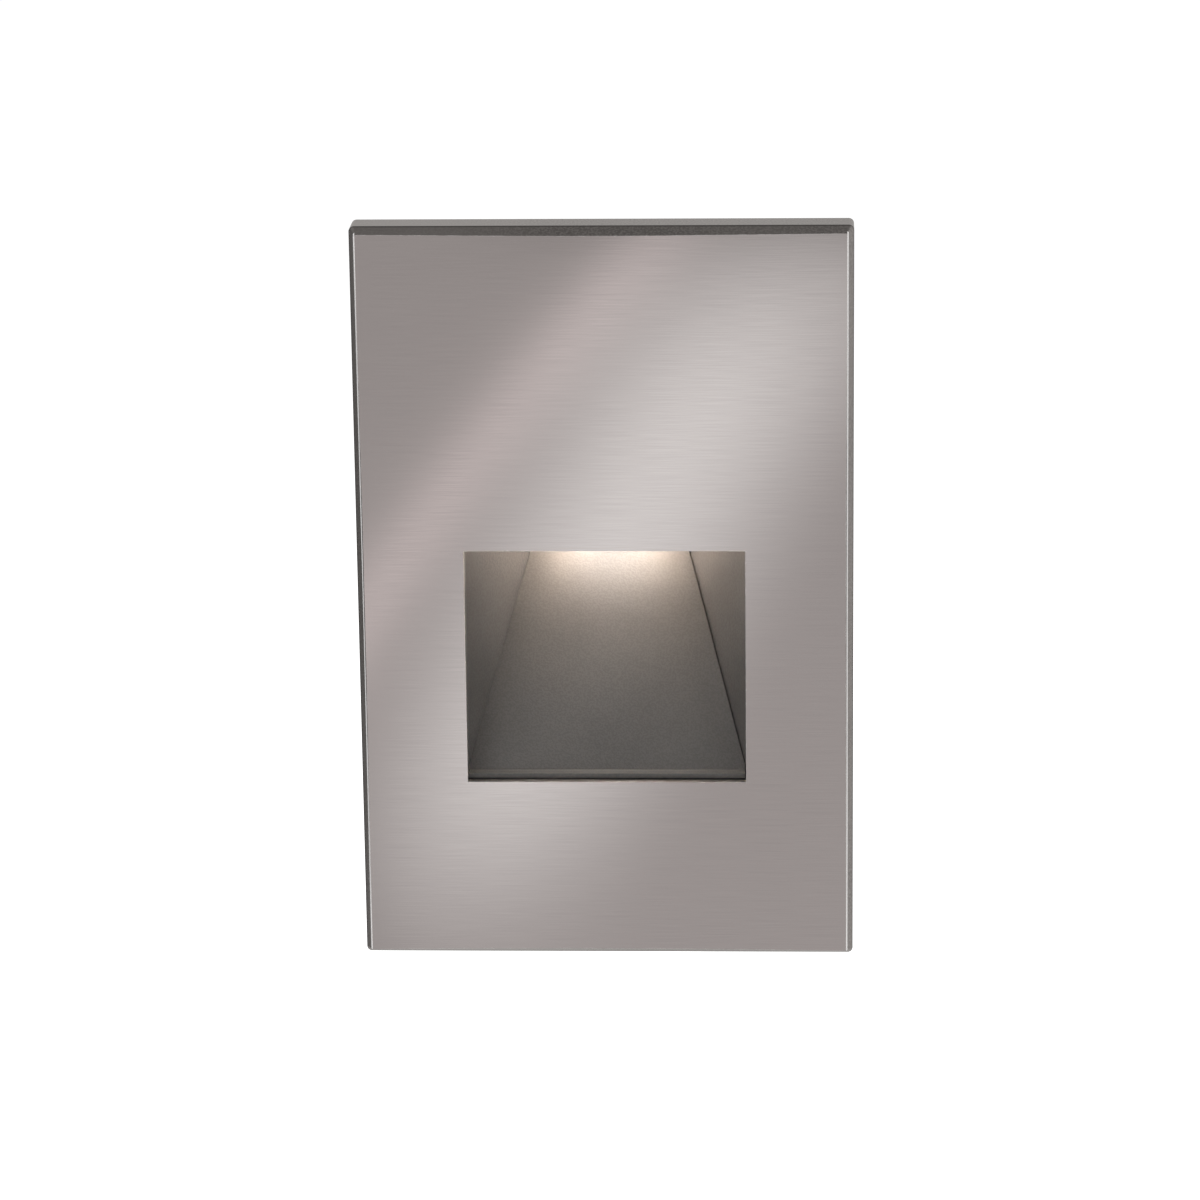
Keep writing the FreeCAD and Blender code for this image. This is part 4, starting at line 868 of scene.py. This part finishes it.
boss_size = Vector((16.4, 11.4, 3.8)) * MM
boss_middle = (lens_low + lens_high) / 2
bm = bmesh.new()
bmesh.ops.create_cube(bm, size=1.0)
bmesh.ops.scale(bm, vec=boss_size, verts=bm.verts)
upright_edges = [edge for edge in bm.edges if abs(edge.verts[0].co.z - edge.verts[1].co.z) > MM]
bmesh.ops.bevel(bm, geom=upright_edges, offset=1.7 * MM, segments=6, profile=0.5, affect="EDGES")
rim = [edge for edge in bm.edges if all(vert.co.z < 0 for vert in edge.verts)]
bmesh.ops.bevel(bm, geom=rim, offset=0.3 * MM, segments=3, profile=0.5, affect="EDGES")
bmesh.ops.translate(bm, vec=(boss_middle.x, boss_middle.y, lens_low.z - boss_size.z / 2 + 0.1 * MM),
                    verts=bm.verts)
lens_boss = added_piece(bm, "lens_boss", "led_lens")
finished(lens_boss, frosted_glass)


# --- Lens frame ---
# A frame stamped from sheet steel, with an ear for a screw on each side. It presses the lens on
# its gasket.
stamped_steel = plated_metal("stamped_steel", grey(0.38), (0.52, 0.52, 0.51, 1), 0.42, 0.28,
                             (0.66, 0.66, 0.65, 1))
finished(softened("lens_retainer", 0.12 * MM), stamped_steel)


# --- Lens frame screws ---
# Two small thread-forming screws of plated steel, with a cross recess in a domed head. They go
# down through the frame's ears into the housing's bosses.
def small_screws(name, axis):
    """The small steel pan-head screws of a CAD node, which are all of one size."""
    screws = cross_headed_screws(name, axis, 1.25 * MM, 1.4 * MM, 0.45 * MM)
    finished(screws, screw_steel)


small_screws("lens_retainer_screws", (0, 0, -1))


# --- Light board ---
# An aluminium-core board with a white mask over copper tracks on its lower face. It is sheared, so
# bare aluminium shows at its edges, and two screws hold it under the heat sink.
tracked, given, result = effect_group(
    "board_tracks", {"Across": 0.0, "Along": 0.0, "Pitch": 0.0012}, ["Copper", "Weave"])
columns = math_node(tracked, "DIVIDE", given["Across"], given["Pitch"])
rows = math_node(tracked, "DIVIDE", given["Along"], given["Pitch"])
where = node(tracked, "CombineXYZ", {0: columns, 1: rows})
runs = node(tracked, "TexBrick", {
    "Vector": where.outputs[0], "Scale": 1.0, "Mortar Size": 0.16, "Mortar Smooth": 0.1,
    "Brick Width": 5.0, "Row Height": 1.0})
tracked.links.new(runs.outputs["Fac"], result["Copper"])
warp = math_node(tracked, "SINE", math_node(tracked, "MULTIPLY", columns, 22.0))
weft = math_node(tracked, "SINE", math_node(tracked, "MULTIPLY", rows, 22.0))
weave = math_node(tracked, "MULTIPLY", warp, weft)
tracked.links.new(math_node(tracked, "MULTIPLY_ADD", weave, 0.5, 0.5), result["Weave"])


def board(name, mask, over_copper, core, flat_axis, other_axis, gloss):
    """Printed board: mask colours over its base and over copper, and a core colour at its edges."""
    material, tree, shader = shaded(name)
    axes = axes_of(tree, object_place(tree))
    print_lines = outputs_of(tree, tracked, Across=axes["X"], Along=axes[other_axis])
    tone = blend(tree, print_lines["Copper"], mask, over_copper)
    facing = axes_of(tree, node(tree, "TexCoord").outputs["Normal"])
    flat = map_range(tree, math_node(tree, "ABSOLUTE", facing[flat_axis]), 0.4, 0.8)
    tone = blend(tree, flat, core, tone)
    fill(tree, shader, {"Base Color": tone, "Roughness": gloss})
    height = math_node(tree, "MULTIPLY_ADD", print_lines["Weave"], 0.25, print_lines["Copper"])
    relief(tree, shader, height, 0.00003, 0.6)
    return material


white_mask = board("white_mask", (0.80, 0.80, 0.78, 1), (0.86, 0.86, 0.84, 1), grey(0.50),
                   "Z", "Y", 0.38)
finished(softened("led_board", 0.06 * MM), white_mask)


# --- Light chips ---
# Four white ceramic packages, soldered in a row to the board's lower face. Each has a round well
# of yellow phosphor that glows.
def diagonal(tree, first, second):
    """Length of the diagonal of a rectangle with these sides."""
    squares = [math_node(tree, "MULTIPLY", side, side) for side in (first, second)]
    return math_node(tree, "SQRT", math_node(tree, "ADD", *squares))


light_chip, tree, shader = shaded("light_chip")
place = object_place(tree)
axes = axes_of(tree, place)
chip_corners = solids_of("led_chips")
chip_middle = (chip_corners[0][0] + chip_corners[0][1]) / 2
chip_pitch = (chip_corners[1][0] - chip_corners[0][0]).x
sideways = math_node(tree, "SUBTRACT", axes["X"], chip_middle.x - chip_pitch / 2)
sideways = math_node(tree, "SUBTRACT", math_node(tree, "MODULO", sideways, chip_pitch),
                     chip_pitch / 2)
endways = math_node(tree, "SUBTRACT", axes["Y"], chip_middle.y)
spread = diagonal(tree, sideways, endways)
phosphor = map_range(tree, spread, 1.18 * MM, 1.05 * MM)
grains = node(tree, "TexVoronoi", {"Vector": place, "Scale": 9000.0})
glowing = blend(tree, grains.outputs["Distance"], (0.92, 0.66, 0.12, 1), (0.98, 0.80, 0.25, 1))
tone = blend(tree, phosphor, (0.82, 0.82, 0.80, 1), glowing)
fill(tree, shader, {"Base Color": tone, "Emission Color": (1.0, 0.84, 0.62, 1),
                    "Emission Strength": math_node(tree, "MULTIPLY", phosphor, 12.0),
                    "Roughness": 0.4})
relief(tree, shader, grains.outputs["Distance"], 0.00001, 0.4)
finished(softened("led_chips", 0.05 * MM), light_chip)


# --- Light board screws ---
# Two small screws of plated steel at opposite corners of the board. They go up through it into the
# heat sink.
small_screws("led_board_screws", (0, 0, 1))


# --- Thermal pad ---
# A soft pad of grey-blue silicone on a glass weave that shows through its skin. It is cut to size
# and squeezed between the light board and the heat sink.
pad_silicone, tree, shader = shaded("pad_silicone")
axes = axes_of(tree, object_place(tree))
cloth = outputs_of(tree, tracked, Across=axes["X"], Along=axes["Y"], Pitch=0.004)
tone = blend(tree, cloth["Weave"], (0.30, 0.36, 0.44, 1), (0.40, 0.46, 0.54, 1))
fill(tree, shader, {"Base Color": tone, "Roughness": 0.75})
relief(tree, shader, cloth["Weave"], 0.00004, 0.6)
finished(softened("thermal_pad", 0.08 * MM), pad_silicone)


# --- Heat sink ---
# An L-shaped aluminium extrusion with upright fins, sawn to length. It is left as it came from the
# die, with its fine drawn lines.
mill_aluminium, tree, shader = shaded("mill_aluminium", 1.0)
drawn = outputs_of(tree, brushed, Spacing=0.0003, Length=0.03)
tone = blend(tree, drawn["Lines"], (0.58, 0.58, 0.59, 1), (0.72, 0.72, 0.73, 1))
fill(tree, shader, {"Base Color": tone,
                    "Roughness": map_range(tree, drawn["Clouds"], 0.0, 1.0, 0.42, 0.32)})
relief(tree, shader, drawn["Lines"], 0.000012, 0.6)
finished(softened("heat_sink", 0.15 * MM), mill_aluminium)


# --- Heat sink screws ---
# Two small screws of plated steel, cold headed and thread rolled. They go through the sink's
# upright leg into the housing's front wall.
small_screws("heat_sink_screws", (0, -1, 0))


# --- Leads ---
# Two leads of stranded wire in silicone, red at the left and black at the right. They are soldered
# to the light board and to the driver board.
lead_silicone, tree, shader = shaded("lead_silicone")
axes = axes_of(tree, object_place(tree))
drift = outputs_of(tree, cloudy, Cloud=400.0, Grain=6000.0)
red = blend(tree, drift["Clouds"], (0.38, 0.02, 0.018, 1), (0.46, 0.03, 0.025, 1))
black = blend(tree, drift["Clouds"], grey(0.02), grey(0.035))
tone = blend(tree, math_node(tree, "GREATER_THAN", axes["X"], 0.0), red, black)
fill(tree, shader, {"Base Color": tone, "Roughness": 0.48})
relief(tree, shader, drift["Grain"], 0.000008, 0.4)
finished(softened("led_leads", 0.05 * MM), lead_silicone)


# --- Driver board ---
# A glass-fibre board with a green mask over its copper, routed to shape, so the tan fibre is bare
# at its edges. It is screwed on the rear cover's posts.
green_mask = board("green_mask", (0.015, 0.13, 0.055, 1), (0.05, 0.26, 0.10, 1),
                   (0.52, 0.46, 0.28, 1), "Y", "Z", 0.34)
finished(softened("driver_board", 0.06 * MM), green_mask)


# --- Transformer ---
# A ground ferrite core around a bobbin, whose winding is wrapped in yellow polyester tape. It is
# soldered to the driver board.
def painted_by_solid(made, materials, choose):
    """Give each solid of a piece the material whose number choose(low, high) returns."""
    for material in materials:
        made.data.materials.append(material)
    mesh = made.data
    boxes = [(low, high, choose(low, high)) for low, high in solids_of(made.name[:-len("_piece")])]
    boxes.sort(key=lambda box: (box[1] - box[0]).length)
    slack = 0.01 * MM
    touching = {index: [] for index in range(len(mesh.vertices))}
    for edge in mesh.edges:
        first, second = edge.vertices
        touching[first].append(second)
        touching[second].append(first)
    material_of = {}
    for group in connected(touching):
        low, high = box_of([mesh.vertices[index].co for index in group])
        match = next(box for box in boxes
                     if (box[0] - low).length < slack and (box[1] - high).length < slack)
        for index in group:
            material_of[index] = match[2]
    for polygon in mesh.polygons:
        polygon.material_index = material_of[polygon.vertices[0]]


ferrite, tree, shader = shaded("ferrite")
drift = outputs_of(tree, cloudy, Cloud=300.0, Grain=5000.0)
tone = blend(tree, drift["Grain"], (0.035, 0.035, 0.038, 1), (0.08, 0.08, 0.085, 1))
fill(tree, shader, {"Base Color": tone, "Roughness": 0.55})
relief(tree, shader, drift["Grain"], 0.00002, 0.5)

winding_tape, tree, shader = shaded("winding_tape")
axes = axes_of(tree, object_place(tree))
turns = math_node(tree, "SINE", math_node(tree, "MULTIPLY", axes["Y"], 2 * math.pi / (2.2 * MM)))
overlap = map_range(tree, turns, 0.75, 0.95)
tone = blend(tree, overlap, (0.72, 0.50, 0.06, 1), (0.52, 0.34, 0.04, 1))
fill(tree, shader, {"Base Color": tone, "Roughness": 0.3})
relief(tree, shader, overlap, 0.00006, 0.6)

driver_transformer = softened("driver_transformer", 0.12 * MM)
transformer_top = min(low.y for low, high in solids_of("driver_transformer"))
painted_by_solid(driver_transformer, (ferrite, winding_tape),
                 lambda low, high: 0 if low.y == transformer_top else 1)


# --- Capacitors ---
# Two aluminium cans in blue shrink sleeve with a pale stripe, and a film capacitor cast in a box.
# All three stand on the driver board.
sleeve, tree, shader = shaded("can_sleeve")
facing = axes_of(tree, node(tree, "TexCoord").outputs["Normal"])
around = math_node(tree, "ARCTAN2", facing["X"], facing["Z"])
stripe = map_range(tree, apart(tree, around, 0.6), 0.38, 0.33)
bare = map_range(tree, math_node(tree, "ABSOLUTE", facing["Y"]), 0.90, 0.97)
drift = outputs_of(tree, cloudy, Cloud=200.0, Grain=3000.0)
film = blend(tree, drift["Clouds"], (0.012, 0.025, 0.09, 1), (0.02, 0.04, 0.13, 1))
tone = blend(tree, stripe, film, (0.55, 0.57, 0.60, 1))
tone = blend(tree, bare, tone, grey(0.62))
fill(tree, shader, {"Base Color": tone, "Metallic": bare,
                    "Roughness": map_range(tree, bare, 0.0, 1.0, 0.28, 0.4)})
relief(tree, shader, drift["Grain"], 0.00001, 0.4)

film_case = moulded("film_case", (0.50, 0.22, 0.03, 1), (0.60, 0.28, 0.045, 1), 0.35)
driver_capacitors = softened("driver_capacitors", 0.15 * MM)
case_width = max((high - low).x for low, high in solids_of("driver_capacitors"))
painted_by_solid(driver_capacitors, (sleeve, film_case),
                 lambda low, high: 1 if (high - low).x == case_width else 0)


# --- Choke ---
# A ferrite bobbin wound with enamelled copper wire between its two flanges. It stands on the
# driver board.
choke_low, choke_high = solids_of("driver_choke")[0]
wound, tree, shader = shaded("wound_choke")
axes = axes_of(tree, object_place(tree))
middle_y = (choke_low.y + choke_high.y) / 2
from_middle = apart(tree, axes["Y"], middle_y)
flange = 1.22 * MM
winding = math_node(tree, "LESS_THAN", from_middle, (choke_high.y - choke_low.y) / 2 - flange)
wires = math_node(tree, "SINE", math_node(tree, "MULTIPLY", axes["Y"], 2 * math.pi / (0.4 * MM)))
wires = math_node(tree, "MULTIPLY_ADD", wires, 0.5, 0.5)
copper = blend(tree, wires, (0.20, 0.06, 0.02, 1), (0.62, 0.26, 0.10, 1))
fill(tree, shader, {"Base Color": blend(tree, winding, (0.05, 0.05, 0.055, 1), copper),
                    "Metallic": math_node(tree, "MULTIPLY", winding, 0.7), "Roughness": 0.36})
relief(tree, shader, math_node(tree, "MULTIPLY", wires, winding), 0.0002, 0.8)
finished(softened("driver_choke", 0.10 * MM), wound)


# --- Fuse ---
# A small round fuse moulded in black resin, slightly glossy from its mould. It stands on the
# driver board.
black_resin = moulded("black_resin", (0.018, 0.018, 0.019, 1), (0.035, 0.035, 0.036, 1), 0.34)
finished(softened("driver_fuse", 0.10 * MM), black_resin)


# --- Rectifier ---
# Four diodes moulded in a flat block of black resin, with one corner cut off to show how it is
# turned. It stands on the driver board.
matt_resin = moulded("matt_resin", (0.02, 0.02, 0.021, 1), (0.045, 0.045, 0.046, 1), 0.55)
finished(softened("driver_rectifier", 0.15 * MM), matt_resin)


# --- Controller chip ---
# A body moulded from black resin, with tinned legs bent down on both sides and soldered to the
# board.
chip_low, chip_high = solids_of("driver_chip")[0]
chip_resin, tree, shader = shaded("chip_resin")
axes = axes_of(tree, object_place(tree))
aside = apart(tree, axes["X"], (chip_low.x + chip_high.x) / 2)
body_half_width = 1.96 * MM
tinned = math_node(tree, "GREATER_THAN", aside, body_half_width)
drift = outputs_of(tree, cloudy, Cloud=400.0, Grain=8000.0)
resin = blend(tree, drift["Grain"], (0.02, 0.02, 0.021, 1), (0.045, 0.045, 0.047, 1))
fill(tree, shader, {"Base Color": blend(tree, tinned, resin, (0.66, 0.66, 0.65, 1)),
                    "Metallic": tinned, "Roughness": 0.42})
relief(tree, shader, drift["Grain"], 0.00001, 0.5)
finished(softened("driver_chip", 0.04 * MM), chip_resin)


# --- Resistors ---
# Two ceramic barrels dipped in beige lacquer and ringed with paint. Their tinned legs are bent
# down and soldered to the board.
resistor_low, resistor_high = solids_of("driver_resistors")[0]
lacquer, tree, shader = shaded("ringed_lacquer")
axes = axes_of(tree, object_place(tree))
resistor_middle = (resistor_low.z + resistor_high.z) / 2
endways = math_node(tree, "SUBTRACT", axes["Z"], resistor_middle)
drift = outputs_of(tree, cloudy, Cloud=300.0, Grain=4000.0)
tone = blend(tree, drift["Clouds"], (0.50, 0.40, 0.26, 1), (0.60, 0.49, 0.32, 1))
ring_colours = ((0.30, 0.02, 0.02, 1), grey(0.02), (0.40, 0.12, 0.01, 1), (0.45, 0.33, 0.08, 1))
ring_pitch = 1.05 * MM
for index, ring_colour in enumerate(ring_colours):
    ring_place = (index - 1.7) * ring_pitch
    distance = apart(tree, endways, ring_place)
    tone = blend(tree, map_range(tree, distance, 0.30 * MM, 0.24 * MM), tone, ring_colour)
barrel_half_length = 3.02 * MM
tinned = math_node(tree, "GREATER_THAN", math_node(tree, "ABSOLUTE", endways), barrel_half_length)
fill(tree, shader, {"Base Color": blend(tree, tinned, tone, (0.66, 0.66, 0.65, 1)),
                    "Metallic": tinned, "Roughness": 0.3})
relief(tree, shader, drift["Grain"], 0.00001, 0.4)
finished(softened("driver_resistors", 0.12 * MM), lacquer)


# --- Driver screws ---
# Four small screws of plated steel, cold headed and thread rolled. They hold the driver board on
# the rear cover's posts.
small_screws("driver_screws", (0, 1, 0))


# --- Insulating sheet ---
# A thin sheet of pressed board, punched for the posts, with its fibres lying mostly upright. It
# lies in the rear cover behind the driver board.
pressed_board, tree, shader = shaded("pressed_board")
place = object_place(tree)
stretched = node(tree, "Mapping", {"Vector": place, "Scale": (1400.0, 1400.0, 200.0)})
fibres = noise(tree, stretched.outputs[0], 1.0, 4.0)
tone = blend(tree, fibres, (0.42, 0.44, 0.36, 1), (0.60, 0.61, 0.52, 1))
fill(tree, shader, {"Base Color": tone, "Roughness": 0.8})
relief(tree, shader, fibres, 0.00003, 0.5)
finished(softened("driver_insulator", 0.04 * MM), pressed_board)


# --- Rear cover ---
# A die-cast aluminium cover for the tub, coated like the housing. Round marks of the ejector pins
# show in its raised panel.
cover_coat = housing_coat.copy()
cover_coat.name = "cover_coat"
tree = cover_coat.node_tree
shader = tree.nodes["Principled BSDF"]
axes = axes_of(tree, object_place(tree))
pin_side, pin_rise, pin_radius = 11.0 * MM, 15.0 * MM, 2.4 * MM
panel_middle = -7.0 * MM
aside = math_node(tree, "SUBTRACT", math_node(tree, "ABSOLUTE", axes["X"]), pin_side)
above = math_node(tree, "SUBTRACT", apart(tree, axes["Z"], panel_middle), pin_rise)
spread = diagonal(tree, aside, above)
pins = map_range(tree, spread, pin_radius, pin_radius - 0.12 * MM)
grain_bump = shader.inputs["Normal"].links[0].from_node
pin_bump = node(tree, "Bump", {"Strength": 1.0, "Distance": 0.00012, "Height": pins,
                               "Normal": grain_bump.outputs[0]}, invert=True)
fill(tree, shader, {"Normal": pin_bump.outputs[0]})
finished(softened("rear_cover", 0.25 * MM, 3), cover_coat)


# --- Rear cover gasket ---
# A sheet of black rubber cut to the tub's outline, with an eye round each screw. The cover
# squeezes it on the tub, and its edge shows as a dark line.
black_rubber = moulded("black_rubber", grey(0.02), grey(0.04), 0.6)
finished(softened("rear_cover_gasket", 0.15 * MM, 3), black_rubber)


# --- Rear cover screws ---
# Four pan-head screws of plated steel, cold headed and thread rolled. They go through the cover's
# corners into the housing's posts.
finished(cross_headed_screws("rear_cover_screws", (0, -1, 0), 1.5 * MM, 1.9 * MM, 0.5 * MM),
         screw_steel)


# --- Lead bushing ---
# A bushing moulded from black nylon, through which the supply leads leave. It is snapped into a
# hole in the rear cover.
black_nylon = moulded("black_nylon", (0.02, 0.02, 0.021, 1), (0.035, 0.035, 0.036, 1), 0.42)
finished(softened("lead_bushing", 0.15 * MM, 3), black_nylon)
